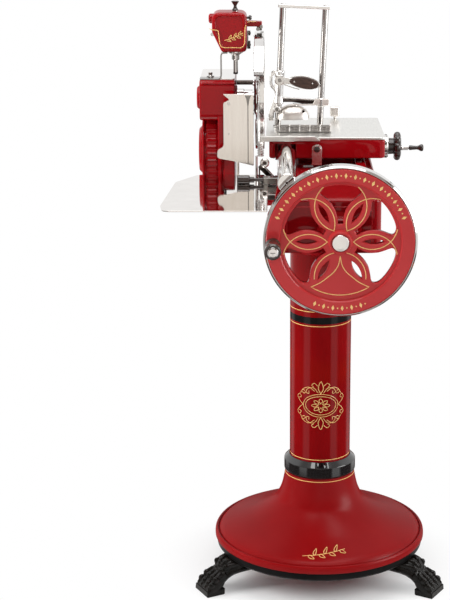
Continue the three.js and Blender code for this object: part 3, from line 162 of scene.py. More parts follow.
RED_TONES = ((0.245, 0.002, 0.004), (0.275, 0.004, 0.007))
PEDESTAL_TONES = ((0.170, 0.001, 0.002), (0.195, 0.002, 0.003))
FOOT_TONES = ((0.20, 0.002, 0.003), (0.225, 0.003, 0.004))
WHEEL_TONES = ((0.43, 0.028, 0.030), (0.47, 0.034, 0.036))
# Painted shade for the flywheel's enamel behind its face, on the walls of its openings.
WHEEL_SHADE = (0.055, 0.002, 0.002)
GOLD = (0.80, 0.50, 0.17)
BLACK = (0.006, 0.006, 0.006)
WHITE = (1, 1, 1)
LOOKS = {
    "red_paint": enamel("red_enamel", RED_TONES),
    "pedestal_red": enamel("pedestal_enamel", PEDESTAL_TONES),
    "rim_chrome": varied("rim_chrome", (0.56, 0.54, 0.53), (0.64, 0.62, 0.60), 1, (0.05, 0.12), 10),
    "black_paint": varied("black_enamel", (0.003, 0.003, 0.003), BLACK, 0, (0.12, 0.2), 12, coat=1, shine=0, haze=0.03),
    "black_ring": varied("black_ring", (0.004, 0.004, 0.004), (0.008, 0.007, 0.007), 0, (0.3, 0.45), 20, shine=0.08),
    "cast_black": varied(
        "black_casting", (0.003, 0.003, 0.002), (0.010, 0.008, 0.007), 0, (0.12, 0.28), 60, 0.0004, shine=0.22),
    "chrome": varied("chrome", (0.74, 0.72, 0.71), (0.80, 0.79, 0.77), 1, (0.04, 0.10), 30),
    "post_chrome": varied("post_chrome", (0.42, 0.40, 0.39), (0.50, 0.48, 0.46), 1, (0.16, 0.24), 30),
    "soft_nickel": varied("soft_nickel", (0.84, 0.80, 0.76), (0.90, 0.86, 0.82), 1, (0.30, 0.42), 20),
    # Chrome coloured dark brown: a painted dark reflection.
    "chrome_painted_dark": varied("chrome_painted_dark", (0.06, 0.045, 0.04), (0.12, 0.10, 0.09), 1, (0.08, 0.16), 30),
    "steel": varied("satin_steel", (0.62, 0.60, 0.58), (0.74, 0.72, 0.69), 1, (0.14, 0.24), 40, stretch=(1, 12, 12)),
    "bronze": varied("bronze", (0.42, 0.25, 0.10), (0.55, 0.34, 0.15), 1, (0.25, 0.4), 40),
    "dark_grip": varied("dark_grip", (0.016, 0.010, 0.008), (0.030, 0.018, 0.014), 0, (0.15, 0.28), 25, coat=0.4),
    "wood": varied("dark_wood", (0.030, 0.014, 0.010), (0.075, 0.038, 0.027), 0, (0.3, 0.45), 60, 0.0002, (1, 6, 6)),
    "stone": varied("abrasive_stone", (0.05, 0.045, 0.04), (0.10, 0.09, 0.08), 0, (0.8, 0.95), 400, 0.0003),
    "table": varied("table_steel", (0.70, 0.69, 0.66), (0.80, 0.79, 0.76), 1, (0.26, 0.36), 30, stretch=(8, 1, 1)),
    "mirror": varied("mirror_steel", (0.74, 0.71, 0.68), (0.80, 0.77, 0.74), 1, (0.03, 0.07), 20),
    "dark_chrome": varied("dark_chrome", (0.20, 0.19, 0.18), (0.32, 0.30, 0.28), 1, (0.12, 0.22), 40),
    "blade": varied("blade_steel", (0.72, 0.71, 0.69), (0.76, 0.75, 0.73), 1, (0.09, 0.12), 160),
    "deflector": varied(
        "deflector_steel", (0.80, 0.75, 0.70), (0.86, 0.82, 0.77), 1, (0.16, 0.24), 14, stretch=(9, 1, 1)),
    "gold": varied("gold_lining", (0.70, 0.42, 0.13), (0.86, 0.56, 0.21), 0, (0.3, 0.4), 90, coat=0.5),
}
find(LOOKS["black_paint"].node_tree, "BSDF_PRINCIPLED").inputs["Coat IOR"].default_value = 1.8


# Outlines: lists of points in millimetres


def arc(cx, cy, radius, first, last, steps):
    turns = (first + (last - first) * i / steps for i in range(steps + 1))
    return [(cx + radius * math.cos(turn), cy + radius * math.sin(turn)) for turn in turns]


def bow(cx, cy, radius, first, last, steps=12):
    """An arc between two angles in degrees."""
    return arc(cx, cy, radius, math.radians(first), math.radians(last), steps)


def oval(a, b, steps):
    return scaled(arc(0, 0, 1, 0, TURN, steps)[:-1], a, b)


def scaled(points, wide, tall):
    return [(x * wide, y * tall) for x, y in points]


def shifted(points, dx, dy):
    return [(x + dx, y + dy) for x, y in points]


def turned_points(points, turn):
    cosine, sine = math.cos(turn), math.sin(turn)
    return [(x * cosine - y * sine, x * sine + y * cosine) for x, y in points]


def fillet(points, radius, steps=5, closed=True):
    """The outline with each corner rounded. radius is one number, or one for each corner."""
    radii = radius if isinstance(radius, list) else [radius] * len(points)
    corners = [Vector(point) for point in points]
    count = len(corners)
    result = []
    for i, corner in enumerate(corners):
        back = 0
        if radii[i] > 0 and (closed or 0 < i < count - 1):
            to_last, to_next = corners[i - 1] - corner, corners[(i + 1) % count] - corner
            angle = to_last.angle(to_next)
            if angle > 0.01:
                back = min(radii[i] / math.tan(angle / 2), 0.49 * min(to_last.length, to_next.length))
        if back < 1e-4:
            result.append(tuple(corner))
            continue
        first, last = corner + to_last.normalized() * back, corner + to_next.normalized() * back
        for j in range(steps + 1):
            t = j / steps
            result.append(tuple(first * (1 - t) ** 2 + corner * 2 * t * (1 - t) + last * t**2))
    return result


def rounded_rect(x0, x1, y0, y1, radius, steps=8):
    return fillet([(x0, y0), (x1, y0), (x1, y1), (x0, y1)], radius, steps)


def smooth_line(points, steps=6, closed=False):
    """A Catmull-Rom curve through the points, of any dimension."""
    count = len(points)
    vectors = [Vector(point) for point in points]
    result = []
    for i in range(count if closed else count - 1):
        p0 = vectors[i - 1] if closed or i else vectors[i] * 2 - vectors[i + 1]
        p1, p2 = vectors[i], vectors[(i + 1) % count]
        p3 = vectors[(i + 2) % count] if closed or i + 2 < count else p2 * 2 - p1
        for j in range(steps):
            t = j / steps
            square, cube = 2 * p0 - 5 * p1 + 4 * p2 - p3, 3 * p1 - p0 - 3 * p2 + p3
            result.append(tuple(0.5 * (2 * p1 + (p2 - p0) * t + square * t**2 + cube * t**3)))
    return result if closed else [*result, tuple(vectors[-1])]


def inset(outline, distance):
    """The outline moved inward, point by point. It runs anticlockwise."""
    points = [Vector(point) for point in outline]
    result = []
    for i, point in enumerate(points):
        to_next = (points[(i + 1) % len(points)] - point).normalized()
        along = (to_next + (point - points[i - 1]).normalized()).normalized()
        stretch = 1 / max(along.dot(to_next), 0.4)
        result.append(tuple(point + Vector((-along.y, along.x)) * distance * stretch))
    return result


def strip_outline(points, thickness):
    """A bent strip of the given thickness along a line of points."""
    line = [Vector(point) for point in points]
    sides = [[], []]
    for before, point, after in zip(line[:1] + line, line, line[1:] + line[-1:]):
        along = (after - before).normalized()
        for side, half in zip(sides, (0.5, -0.5)):
            side.append(tuple(point + Vector((-along.y, along.x)) * thickness * half))
    return sides[0] + sides[1][::-1]


# Meshes and pieces


SIDEWAYS = Matrix(((0, 0, 1), (1, 0, 0), (0, 1, 0))).to_4x4()
UPRIGHT = Matrix(((1, 0, 0), (0, 0, -1), (0, 1, 0))).to_4x4()
PLANES = {"side": (SIDEWAYS, 0), "front": (UPRIGHT, 1), "flat": (Matrix.Identity(4), 2)}
AXES = {"X": SIDEWAYS, "Y": Matrix(((0, 1, 0), (0, 0, 1), (1, 0, 0))).to_4x4(), "Z": Matrix.Identity(4)}
SHARP_ANGLE = math.radians(40)


def linked(name, data):
    thing = bpy.data.objects.new(name, data)
    bpy.context.scene.collection.objects.link(thing)
    return thing


def poured(*meshes):
    """A bmesh with what these meshes held."""
    bm = bmesh.new()
    for mesh in meshes:
        bm.from_mesh(mesh)
        bpy.data.meshes.remove(mesh)
    return bm


def to_mesh(bm, name):
    mesh = bpy.data.meshes.new(name)
    bm.to_mesh(mesh)
    bm.free()
    return mesh


def finish_mesh(bm, name, matrix=None, centre=(0, 0, 0)):
    bmesh.ops.remove_doubles(bm, verts=bm.verts, dist=1e-4)
    bmesh.ops.transform(bm, matrix=matrix or Matrix.Identity(4), verts=bm.verts)
    bmesh.ops.recalc_face_normals(bm, faces=bm.faces)
    for vertex in bm.verts:
        vertex.co = place(*(vertex.co + Vector(centre)))
    return to_mesh(bm, name)


def bridge(bm, first, second, closed=True):
    """Faces between two rows of vertices."""
    for i in range(0 if closed else 1, len(first)):
        bm.faces.new((first[i - 1], second[i - 1], second[i], first[i]))


def new_object(name, mesh, look, node, body=None):
    """Makes the piece, gives it its look, and lets it ride with, and stand for, the CAD node."""
    piece = linked(name, mesh)
    look = look or SLOT_OF[node]
    mesh.materials.clear()
    mesh.materials.append(LOOKS[look] if isinstance(look, str) else look)
    mesh.shade_smooth()
    mesh.set_sharp_from_angle(angle=SHARP_ANGLE)
    piece.modifiers.new("weighted normals", "WEIGHTED_NORMAL").keep_sharp = True
    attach(piece, body or BODY_OF[node])
    if node:
        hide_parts(node)
    return piece


def off_axis(profile):
    return profile[0][0] > 0 and profile[-1][0] > 0


def turned_mesh(name, profile, axis, centre=(0, 0, 0), segments=96, wave=None):
    """A revolved profile of (radius, place along the axis), closed if it stays off the axis. wave(angle) scales it."""
    bm = bmesh.new()
    rings = []
    for i in range(segments):
        angle = TURN * i / segments
        swell = wave(angle) if wave else 1
        rings.append([bm.verts.new((r * swell * math.cos(angle), r * swell * math.sin(angle), h)) for r, h in profile])
    for here, after in zip(rings, rings[1:] + rings[:1]):
        bridge(bm, here, after, off_axis(profile))
    bmesh.ops.remove_doubles(bm, verts=bm.verts, dist=1e-3)
    bmesh.ops.dissolve_degenerate(bm, edges=bm.edges, dist=1e-4)
    return finish_mesh(bm, name, AXES[axis], centre)


def turned(name, node, axis, profile, ease, segments=96, look=None, at=None, wave=None):
    """A revolved piece about the node's own axis, or about the one at these two coordinates."""
    own = span(node)
    centre = list(at or [value for letter, value in zip("XYZ", (own.x, own.y, own.z)) if letter != axis])
    centre.insert("XYZ".index(axis), 0)
    rounded = fillet(profile, ease, 4, off_axis(profile))
    return new_object(name, turned_mesh(name, rounded, axis, centre, segments, wave), look, node)


def lathe(name, node, axis, profile, *rest, **settings):
    """A turned piece with heights from the node's low end. None is its far end, and below 0 counts back from there."""
    low, high = (getattr(span(node), axis.lower() + end) for end in "01")
    heights = [high if h is None else h + (high if h < 0 else low) for _, h in profile]
    return turned(name, node, axis, [(r, h) for (r, _), h in zip(profile, heights)], *rest, **settings)


def rod(name, node, axis, radius, start, end, ease=1.0, look=None, at=None, segments=48):
    return turned(name, node, axis, [(0, start), (radius, start), (radius, end), (0, end)], ease, segments, look, at)


def curve_mesh(name, lines, closed, **settings):
    curve = bpy.data.curves.new(name, "CURVE")
    for key, value in settings.items():
        setattr(curve, key, value)
    for line in lines:
        spline = curve.splines.new("POLY")
        spline.points.add(len(line) - 1)
        for point, at in zip(spline.points, line):
            point.co = (*at, 1)
        spline.use_cyclic_u = closed
    holder = linked(name, curve)
    mesh = bpy.data.meshes.new_from_object(holder)
    bpy.data.objects.remove(holder)
    bpy.data.curves.remove(curve)
    return mesh


def slab_mesh(name, plane, start, end, outlines, ease, steps):
    """A flat form with eased edges. The first outline is the outside and the rest are holes."""
    mesh = curve_mesh(
        name, [[(*point, 0) for point in outline] for outline in outlines], True, dimensions="2D", fill_mode="BOTH",
        bevel_depth=ease, bevel_resolution=steps - 1, extrude=(end - start) / 2 - ease, offset=-ease,
    )
    matrix, across = PLANES[plane]
    centre = [0, 0, 0]
    centre[across] = (start + end) / 2
    return finish_mesh(poured(mesh), name, matrix, centre)


def slab(name, node, plane, start, end, outline, ease, look=None, holes=(), steps=3):
    return new_object(name, slab_mesh(name, plane, start, end, [outline, *holes], ease, steps), look, node)


def block(name, node, x0, x1, y0, y1, z0, z1, ease=1.0, look=None, corner=None):
    """A box with eased edges, drawn as a slab across its shortest side."""
    ways = [("side", x0, x1, (y0, y1, z0, z1)), ("front", y0, y1, (x0, x1, z0, z1)), ("flat", z0, z1, (x0, x1, y0, y1))]
    plane, start, end, limits = min(ways, key=lambda way: way[2] - way[1])
    outline = rounded_rect(*limits, corner or 1.5 * ease)
    return slab(name, node, plane, start, end, outline, min(ease, (end - start) * 0.45), look)


def shell(name, node, outline, profile, upright=False):
    """A form with one outline and a profile of (inset, height) steps up its side, closed at both ends."""
    draw = outline if callable(outline) else lambda distance: inset(outline, distance)
    bm = bmesh.new()
    rings = []
    for distance, height in profile:
        rings.append([bm.verts.new((a, height, b) if upright else (a, b, height)) for a, b in draw(distance)])
    for low, high in zip(rings, rings[1:]):
        bridge(bm, low, high)
    bm.faces.new(rings[0])
    bm.faces.new(rings[-1])
    return new_object(name, finish_mesh(bm, name), None, node)


def tube_mesh(name, points, radius, closed=False):
    """A thin round line through points in space."""
    return curve_mesh(
        name, [[place(*point) for point in points]], closed, dimensions="3D", bevel_depth=radius * MM,
        bevel_resolution=2, use_fill_caps=True,
    )


def gather(name, meshes, look, node=None, body=None):
    """Several meshes as one piece."""
    return new_object(name, to_mesh(poured(*meshes), name), look, node, body)


def lining(name, lines, body, radius, loops=()):
    """Painted gold lines, open or in loops, that stand a hair proud of the enamel."""
    meshes = [tube_mesh(name, loop, radius, True) for loop in loops]
    gather(name, meshes + [tube_mesh(name, line, radius) for line in lines], "gold", body=body)


# Pedestal


# The trumpet's slope: shares of the way out and up.
TRUMPET = (
    (0, 1), (0.02, 0.88), (0.05, 0.74), (0.09, 0.63), (0.15, 0.53), (0.28, 0.42), (0.47, 0.31), (0.69, 0.22),
    (0.87, 0.15), (0.935, 0.10),
)
LEAF = ((0, 0), (0.29, 0.2), (0.77, 0.11), (1, 0), (0.77, -0.11), (0.29, -0.2), (0, 0))


def sprig(stem, length):
    """A plain stem with leaves of the given length, as flat lines."""
    stem = smooth_line(stem, 8)
    lines = [stem]
    for i, (x, z) in enumerate(stem[3:-2:3]):
        leaf = turned_points(scaled(LEAF, length, length), 1.11 if i % 2 else -0.39)
        lines.append(smooth_line(shifted(leaf, x, z), 4))
    return lines


def add_base_disc():
    disc, neck, wall, bore, under_neck = span("base_disc"), 86, 12, 69, 12
    radius, rise = disc.hx, 2 * disc.hz
    slope = smooth_line(shifted(scaled(TRUMPET, radius - neck, rise), neck, disc.z0))
    bead = [(-10, 0.075), (-8, 0.096), (-3.5, 0.102), (-0.8, 0.075), (0, 0.04), (0, 0), (-wall, 0)]
    edge = fillet([slope[-1], *shifted(scaled(bead, 1, rise), radius, disc.z0)], 3, closed=False)
    below = slope[under_neck:]
    inside = [(bore, below[0][1] - wall), (bore, disc.z1)]
    outline = slope + edge[1:] + shifted(below[::-1], -wall, -wall) + inside
    look = banded("foot_enamel", FOOT_TONES, [(disc.z1 - 14.2, disc.z1 - 12.7, GOLD)], haze=0.3, coat=0.28)
    name = "base_disc_enamel"
    new_object(name, turned_mesh(name, outline, "Z", segments=160), look, "base_disc")
    lines = []
    for points in sprig([(-52, 0), (-16, 4), (18, 9), (52, 15)], 16):
        lines.append([])
        for x, up in points:
            out = 233 - 1.5 * up
            next_out = next(i for i, (r, _) in enumerate(slope) if r > out)
            (r0, z0), (r1, z1) = slope[next_out - 1], slope[next_out]
            lines[-1].append((x + 6, -math.sqrt(out**2 - x**2), z0 + (z1 - z0) * (out - r0) / (r1 - r0) + 0.2))
    lining("disc_sprig", lines, "stand", 0.8)


def add_pedestal_rings():
    outer, inner = span("base_ring").hx, 222
    lathe("base_ring_black", "base_ring", "Z", [(inner, 0), (outer - 4, 0), (outer, 5), (outer, None), (inner, None)],
          2, 160, "black_ring")
    collar, bevel, bore = span("lower_collar"), 12, 77
    outer, low, high = collar.hx, collar.z0 - 6, collar.z1 + 2
    turned("collar_black", "lower_collar", "Z", [
        (outer - 2.5, collar.z0), (outer - 2.5, low), (outer - 1.5, low), (outer, low + 4), (outer, high - bevel),
        (outer - bevel, high), (bore, high), (bore, collar.z0),
    ], [0.5, 0.5, 1, 2.5, 2.5, 2.5, 1, 1], 128)


def add_column():
    outer, line, band_low, band_high, gap_below, gap_above, foot_line = span("column").hx, 1.6, 674.5, 692, 4.5, 13, 320
    inner = outer - 7
    lows = (band_low - gap_below - line, band_high + gap_above, foot_line)
    bands = [(band_low, band_high, BLACK), *((low, low + line, GOLD) for low in lows)]
    lathe("column_tube", "column", "Z", [(inner, 0), (outer, 0), (outer, None), (inner, None)], 1.5, 128,
          banded("column_enamel", PEDESTAL_TONES, bands))


def add_column_ornament():
    """A plain scrolled wreath of gold line round an eight petalled flower, laid round the front of the column."""
    radius, middle, wide, tall = span("column").hx + 0.1, 465, 1.26, 1.14
    lines = []
    reach = [4 + 1.5 * step for step in range(9)]
    for i in range(8):
        petal = []
        for swing, row in ((0.3, reach), (-0.3, reach[::-1])):
            for t in row:
                angle = TURN * i / 8 + swing * math.sin(math.pi * (t - 4) / 12)
                petal.append((t * math.cos(angle) * 1.15, t * math.sin(angle)))
        lines.append(petal)
    for scroll in (
        [(5, 29), (14, 40), (26, 38), (30, 29), (24, 27), (24, 33)],
        [(6, 45), (13, 51), (18, 46), (14, 42)],
        [(37, 0), (45, 8), (50, 17), (45, 23), (41, 17), (46, 14)],
        [(12, 33), (24, 41), (36, 36), (43, 25)],
        [(30, 31), (34, 26), (40, 30), (36, 34), (33, 31)],
    ):
        lines += [scaled(smooth_line(scroll), *flip) for flip in ((1, 1), (1, -1), (-1, 1), (-1, -1))]
    leaf = smooth_line([(0, 27), (5, 40), (0, 55), (-5, 40), (0, 27)])
    lines += [leaf, scaled(leaf, 1, -1)]

    bend = lambda x, z: (radius * math.sin(x / radius), -radius * math.cos(x / radius), middle + z)
    lines, loops = (
        [[bend(*point) for point in scaled(line, wide, tall)] for line in drawing]
        for drawing in (lines, [oval(36, 26, 48), oval(31, 21, 48)])
    )
    lining("column_ornament", lines, "stand", 0.7, loops)


# Paw feet: places are (out from the column's axis, across, up)


# The smooth body below the fur: (out, low, high, half width).
PAW_SECTIONS = (
    (214, 50, 76, 43), (235, 49, 76, 42), (252, 47, 79, 40), (266, 42, 79, 35), (278, 34, 75, 31), (288, 24, 67, 28),
    (295, 12, 57, 29), (303, 6, 50, 32), (311, 6, 42, 34), (321, 6, 34, 35), (332, 6, 25, 35), (341, 6, 17, 35),
)
# Each toe: place across, splay at its tip, thickness.
PAW_TOES = ((-26, -2, 7.5), (-9, -1, 8), (9, 1, 8), (26, 2, 7.5))
# Each lock of fur on one side: its line, and its thickness along it.
PAW_LOCKS = (
    (((216, 15, 76), (250, 14, 79), (276, 11, 77), (288, 9, 68)), (5, 5, 5.5, 5)),
    (((216, 34, 72), (250, 33, 73), (276, 26, 70), (288, 22, 60)), (5, 5.5, 6, 5)),
    (((218, 41, 60), (250, 38, 58), (272, 32, 52), (286, 29, 40)), (5, 5, 5, 4)),
)
# Each tuft on one side: place, size, tilt.
PAW_TUFTS = (((285, 24, 66), (8, 7, 9), 0.4), ((293, 12, 52), (6, 6, 10), 0.3), ((290, 27, 46), (6, 5, 10), 0.2))


def paw_lump(bm, centre, size, tilt=0.0):
    matrix = Matrix.Translation(centre) @ Matrix.Rotation(tilt, 4, "Y") @ Matrix.Diagonal((*size, 1))
    bmesh.ops.create_icosphere(bm, subdivisions=3, radius=1, matrix=matrix)


def paw_strand(bm, points, radii):
    """A row of balls along a smooth line, for a tendon or a lock of fur."""
    fine = smooth_line(points)
    for i, point in enumerate(fine):
        share = i / (len(fine) - 1) * (len(radii) - 1)
        low = min(int(share), len(radii) - 2)
        radius = radii[low] + (radii[low + 1] - radii[low]) * (share - low)
        bmesh.ops.create_icosphere(bm, subdivisions=2, radius=radius, matrix=Matrix.Translation(point))


def paw_body(bm):
    """Boxed and rounded sections, narrower at the top."""
    steps, boxed, taper = 32, 0.42, 0.22
    rows = []
    for out, low, high, half in PAW_SECTIONS:
        rows.append([])
        for x, y in oval(1, 1, steps):
            across = half * math.copysign(abs(x) ** boxed, x) * (1 - taper * max(y, 0))
            up = (low + high) / 2 + (high - low) / 2 * math.copysign(abs(y) ** boxed, y)
            rows[-1].append(bm.verts.new((out, across, up)))
    for first, second in zip(rows, rows[1:]):
        bridge(bm, first, second)
    bm.faces.new(rows[0])
    bm.faces.new(reversed(rows[-1]))


def paw_mesh():
    """One lion paw that reaches out along +X."""
    reach, plinth, half, seat, shorten = 344, 15, 34.5, 214, 0.965
    bm = bmesh.new()
    paw_body(bm)
    for y, splay, thick in PAW_TOES:
        paw_strand(bm, [(300, y * 0.85, 52), (309, y * 0.95, 46)], [thick * 0.55, thick * 0.7])
        paw_lump(bm, (315, y, 40), (8.5, thick, 8.5))
        paw_lump(bm, (328, y + splay, 28), (9, thick, 8.5), 0.5)
        paw_lump(bm, (337, y + splay, 20), (4, 2.6, 5), -0.4)
    for side in (-1, 1):
        for line, radii in PAW_LOCKS:
            paw_strand(bm, [(x, side * y, z) for x, y, z in line], radii)
        for (x, y, z), size, tilt in PAW_TUFTS:
            paw_lump(bm, (x, side * y, z), size, tilt)
    paw_lump(bm, (287, 0, 66), (7.5, 6, 12), 0.3)
    paw_lump(bm, (297, 0, 50), (6, 5, 9), 0.3)
    lumps = to_mesh(bm, "paw_lumps")
    holder = linked("paw_lumps", lumps)
    remesh = holder.modifiers.new("remesh", "REMESH")
    remesh.mode, remesh.voxel_size = "VOXEL", 1.6
    relax = holder.modifiers.new("relax", "SMOOTH")
    relax.factor, relax.iterations = 0.5, 2
    mesh = bpy.data.meshes.new_from_object(holder.evaluated_get(bpy.context.evaluated_depsgraph_get()))
    bpy.data.objects.remove(holder)
    bpy.data.meshes.remove(lumps)
    bm = poured(mesh)
    sole = [(292, -half + 3), (296, -half), (reach, -half), (reach, half), (296, half), (292, half - 3)]
    low = [bm.verts.new((x, y, 0)) for x, y in sole]
    high = [bm.verts.new((x - 1, y * 0.98, plinth)) for x, y in sole]
    bm.faces.new(reversed(low))
    bm.faces.new(high)
    bridge(bm, high, low)
    edges = list({edge for vertex in low + high for edge in vertex.link_edges})
    bmesh.ops.bevel(bm, geom=edges, offset=1.2, segments=2, affect="EDGES")
    for vertex in bm.verts:
        vertex.co.x = seat + (vertex.co.x - seat) * shorten
    return to_mesh(bm, "paw")


def add_feet():
    shape = paw_mesh()
    for name, turn in (("foot_front_left", 208.7), ("foot_front_right", 330), ("foot_rear", 90)):
        mesh = finish_mesh(poured(shape.copy()), name, Matrix.Rotation(math.radians(turn), 4, "Z"))
        new_object(name.replace("foot", "paw"), mesh, None, name)
    bpy.data.meshes.remove(shape)


# Flywheel


WHEEL = span("flywheel")
HUB_X, HUB_Z, RED_RADIUS = WHEEL.x, WHEEL.z, WHEEL.hx
FACE, RING_INNER = -320, 138
WEB_FACE, WEB_REAR = FACE + 8, FACE + 28
ORBIT, OPENING, RIB, LENS, HUB_CLEAR, RING_CLEAR = 88, 54, 70.5, 50, 41, 131
LINE_ORBIT, LINE_RADIUS = 83, 59
SOLID_SECTOR = 4


def window_outline():
    """One round opening of the flywheel, about the ray along +X."""
    half = lambda radius, clear, far: math.acos((clear**2 + far**2 - radius**2) / (2 * clear * far))
    angle = lambda point, cx, cy: math.atan2(point.y - cy, point.x - cx)
    neighbour = (ORBIT / 2, ORBIT * math.sin(math.pi / 3))
    along = (ORBIT**2 + OPENING**2 - RIB**2) / (2 * ORBIT)
    aside = math.sqrt(OPENING**2 - along**2)
    to_side = Vector((neighbour[0] - ORBIT, neighbour[1])).normalized()
    rib_point = Vector((ORBIT, 0)) + to_side * along + Vector((to_side.y, -to_side.x)) * aside
    ring_half, hub_angle = half(OPENING, RING_CLEAR, ORBIT), math.pi / 3 - half(RIB, HUB_CLEAR, math.hypot(*neighbour))
    hub_point = Vector((HUB_CLEAR * math.cos(hub_angle), HUB_CLEAR * math.sin(hub_angle)))
    upper = arc(0, 0, RING_CLEAR, 0, ring_half, 6)
    upper += arc(ORBIT, 0, OPENING, angle(Vector(upper[-1]), ORBIT, 0), angle(rib_point, ORBIT, 0), 5)[1:]
    upper += arc(*neighbour, RIB, angle(rib_point, *neighbour), angle(hub_point, *neighbour), 12)[1:]
    upper += arc(0, 0, HUB_CLEAR, hub_angle, 0, 3)[1:]
    points = fillet(upper + scaled(upper[-2:0:-1], 1, -1), 3, 3)
    # The corners beyond the orbit are worn round.
    for _ in range(60):
        points = [
            tuple((a + 2 * b + c) / 4 for a, b, c in zip(points[i - 1], point, points[(i + 1) % len(points)]))
            if point[0] > ORBIT else point
            for i, point in enumerate(points)
        ]
    return points


def lens_outline():
    half = math.acos((ORBIT / 2) / LENS)
    across = ORBIT * math.cos(math.pi / 6)
    sides = [arc(across, -side * ORBIT / 2, LENS, side * math.pi / 2 - half, side * math.pi / 2 + half, 12)
             for side in (1, -1)]
    return sides[0] + sides[1][1:-1]


def wheel_lines():
    """The gold lining of the flywheel: petal circles from the hub tips to the ring, and last the fan, a loop."""
    inner, outer, cut_short = 29, 133, 106
    lines = []
    for k in range(6):
        last = cut_short if k == SOLID_SECTOR else outer
        for side in (-1, 1):
            if (k, side) in ((3, 1), (5, -1)):
                continue
            angles = [side * (math.pi - math.pi * i / 120) for i in range(121)]
            points = [(LINE_ORBIT + LINE_RADIUS * math.cos(turn), LINE_RADIUS * math.sin(turn)) for turn in angles]
            points = [point for point in points if inner <= math.hypot(*point) <= last]
            lines.append(turned_points(points, math.radians(30 + 60 * k)))
    fan = smooth_line([(0, -33), (4.2, -54), (13, -69), (26, -81), (44, -95), (66, -106)])
    lines.append([*fan, *bow(0, 0, 125, -58, -122, 20), *scaled(fan[:0:-1], -1, 1)])
    return [[(HUB_X + x, WEB_FACE + 0.7, HUB_Z + z) for x, z in line] for line in lines]


def add_flywheel():
    """The wheel. Its enamel is painted dark behind the web's face: painted shade on the walls of its openings and
    inside the ring.
    """
    lip, rear = 3, FACE + 26
    # Everything behind the web's face takes WHEEL_SHADE, as painted shade.
    look = banded("wheel_enamel_painted_shade", WHEEL_TONES, [(WEB_FACE + 1.4, -200, WHEEL_SHADE)], "Y")
    turned("wheel_ring", "flywheel", "Y", [
        (RING_INNER, WEB_FACE + 6), (RING_INNER, FACE + 3), (RING_INNER + lip, FACE), (RED_RADIUS, FACE),
        (RED_RADIUS, rear), (RING_INNER, rear),
    ], 2, 180, look)
    holes = []
    for k in range(6):
        if k != SOLID_SECTOR:
            holes.append(turned_points(window_outline(), math.radians(30 + 60 * k)))
        holes.append(turned_points(lens_outline(), math.radians(60 * k)))
    outline, *holes = [shifted(line, HUB_X, HUB_Z) for line in (oval(RING_INNER + 8, RING_INNER + 8, 144), *holes)]
    slab("wheel_web", "flywheel", "front", WEB_FACE, WEB_REAR, outline, 4.5, look, holes, 5)
    front, rear, hub, bore = -326, -262, 26, 20.3
    turned("wheel_hub", "flywheel", "Y", [
        (bore, front + 4), (bore, front), (hub, front), (hub + 3, WEB_FACE + 2), (hub + 3, WEB_REAR), (hub, rear),
        (bore, rear),
    ], 2.5, 96, look)
    *lines, fan = wheel_lines()
    lining("wheel_lining", lines, "flywheel_unit", 1.25, [fan])
    add_ring_ornament()
    inner, outer = RED_RADIUS + 0.4, span("flywheel_rim").hx
    lathe("wheel_rim", "flywheel_rim", "Y", [
        (inner, 1), (outer - 4, 0), (outer, 4), (outer, -3), (outer - 3, None), (inner, None),
    ], 2, 180, "rim_chrome")
    lathe("wheel_shaft", "flywheel_shaft", "Y", [
        (0, 0), (12, 0.1), (18.4, 0.5), (19.8, 2.4), (19.8, 8), (15, 8), (15, None), (0, None),
    ], 0.8, 72)


def add_ring_ornament():
    """Gold lozenges and beads round the flywheel's ring."""
    middle = (RING_INNER + RED_RADIUS) / 2 + 1
    long, wide, bead, step = 6.5, 3.4, 1.7, 4.0
    lozenge = [(long, 0), (0, wide), (-long, 0), (0, -wide)]
    meshes = []
    for first, last in ((22, 158), (248, 292)):
        count = int((last - first) / step)
        for i, (x, z) in enumerate(bow(HUB_X, HUB_Z, middle, first, last, count)):
            turn = math.radians(first + (last - first) * i / count)
            outline = oval(bead, bead, 12) if i % 2 else turned_points(lozenge, turn)
            meshes.append(slab_mesh("ornament", "front", FACE - 0.4, FACE + 0.4, [shifted(outline, x, z)], 0.1, 2))
    gather("wheel_ornament", meshes, "gold", body="flywheel_unit")


def add_crank():
    pin, grip = span("crank_pin"), span("crank_grip")
    shape = smooth_line([
        (17.6, 0.03), (19, 0.09), (18.6, 0.3), (16.6, 0.46), (14.6, 0.62), (14.6, 0.76), (17.4, 0.9), (17, 0.97),
    ], 5)
    lathe("grip_turned", "crank_grip", "Y", scaled([(6.3, 0), (16, 0), *shape, (14, 1), (6.3, 1)], 1, 2 * grip.hy),
          0.6, 72, at=(pin.x, pin.z))
    cap = grip.y0 - pin.y0 - 0.2
    lathe("grip_pin", "crank_pin", "Y", [
        (0, 0), (3, 0.3), (9.5, 0.7), (12.3, 2.4), (12.3, cap), (6, cap), (6, None), (0, None),
    ], 0.7, 60)
    block("grip_pin_slot", "crank_pin", pin.x - 5.5, pin.x + 5.5, pin.y0 - 0.02, pin.y0 + 1, pin.z - 0.8, pin.z + 0.8,
          0.2, "dark_grip")


# Machine base and drive housing


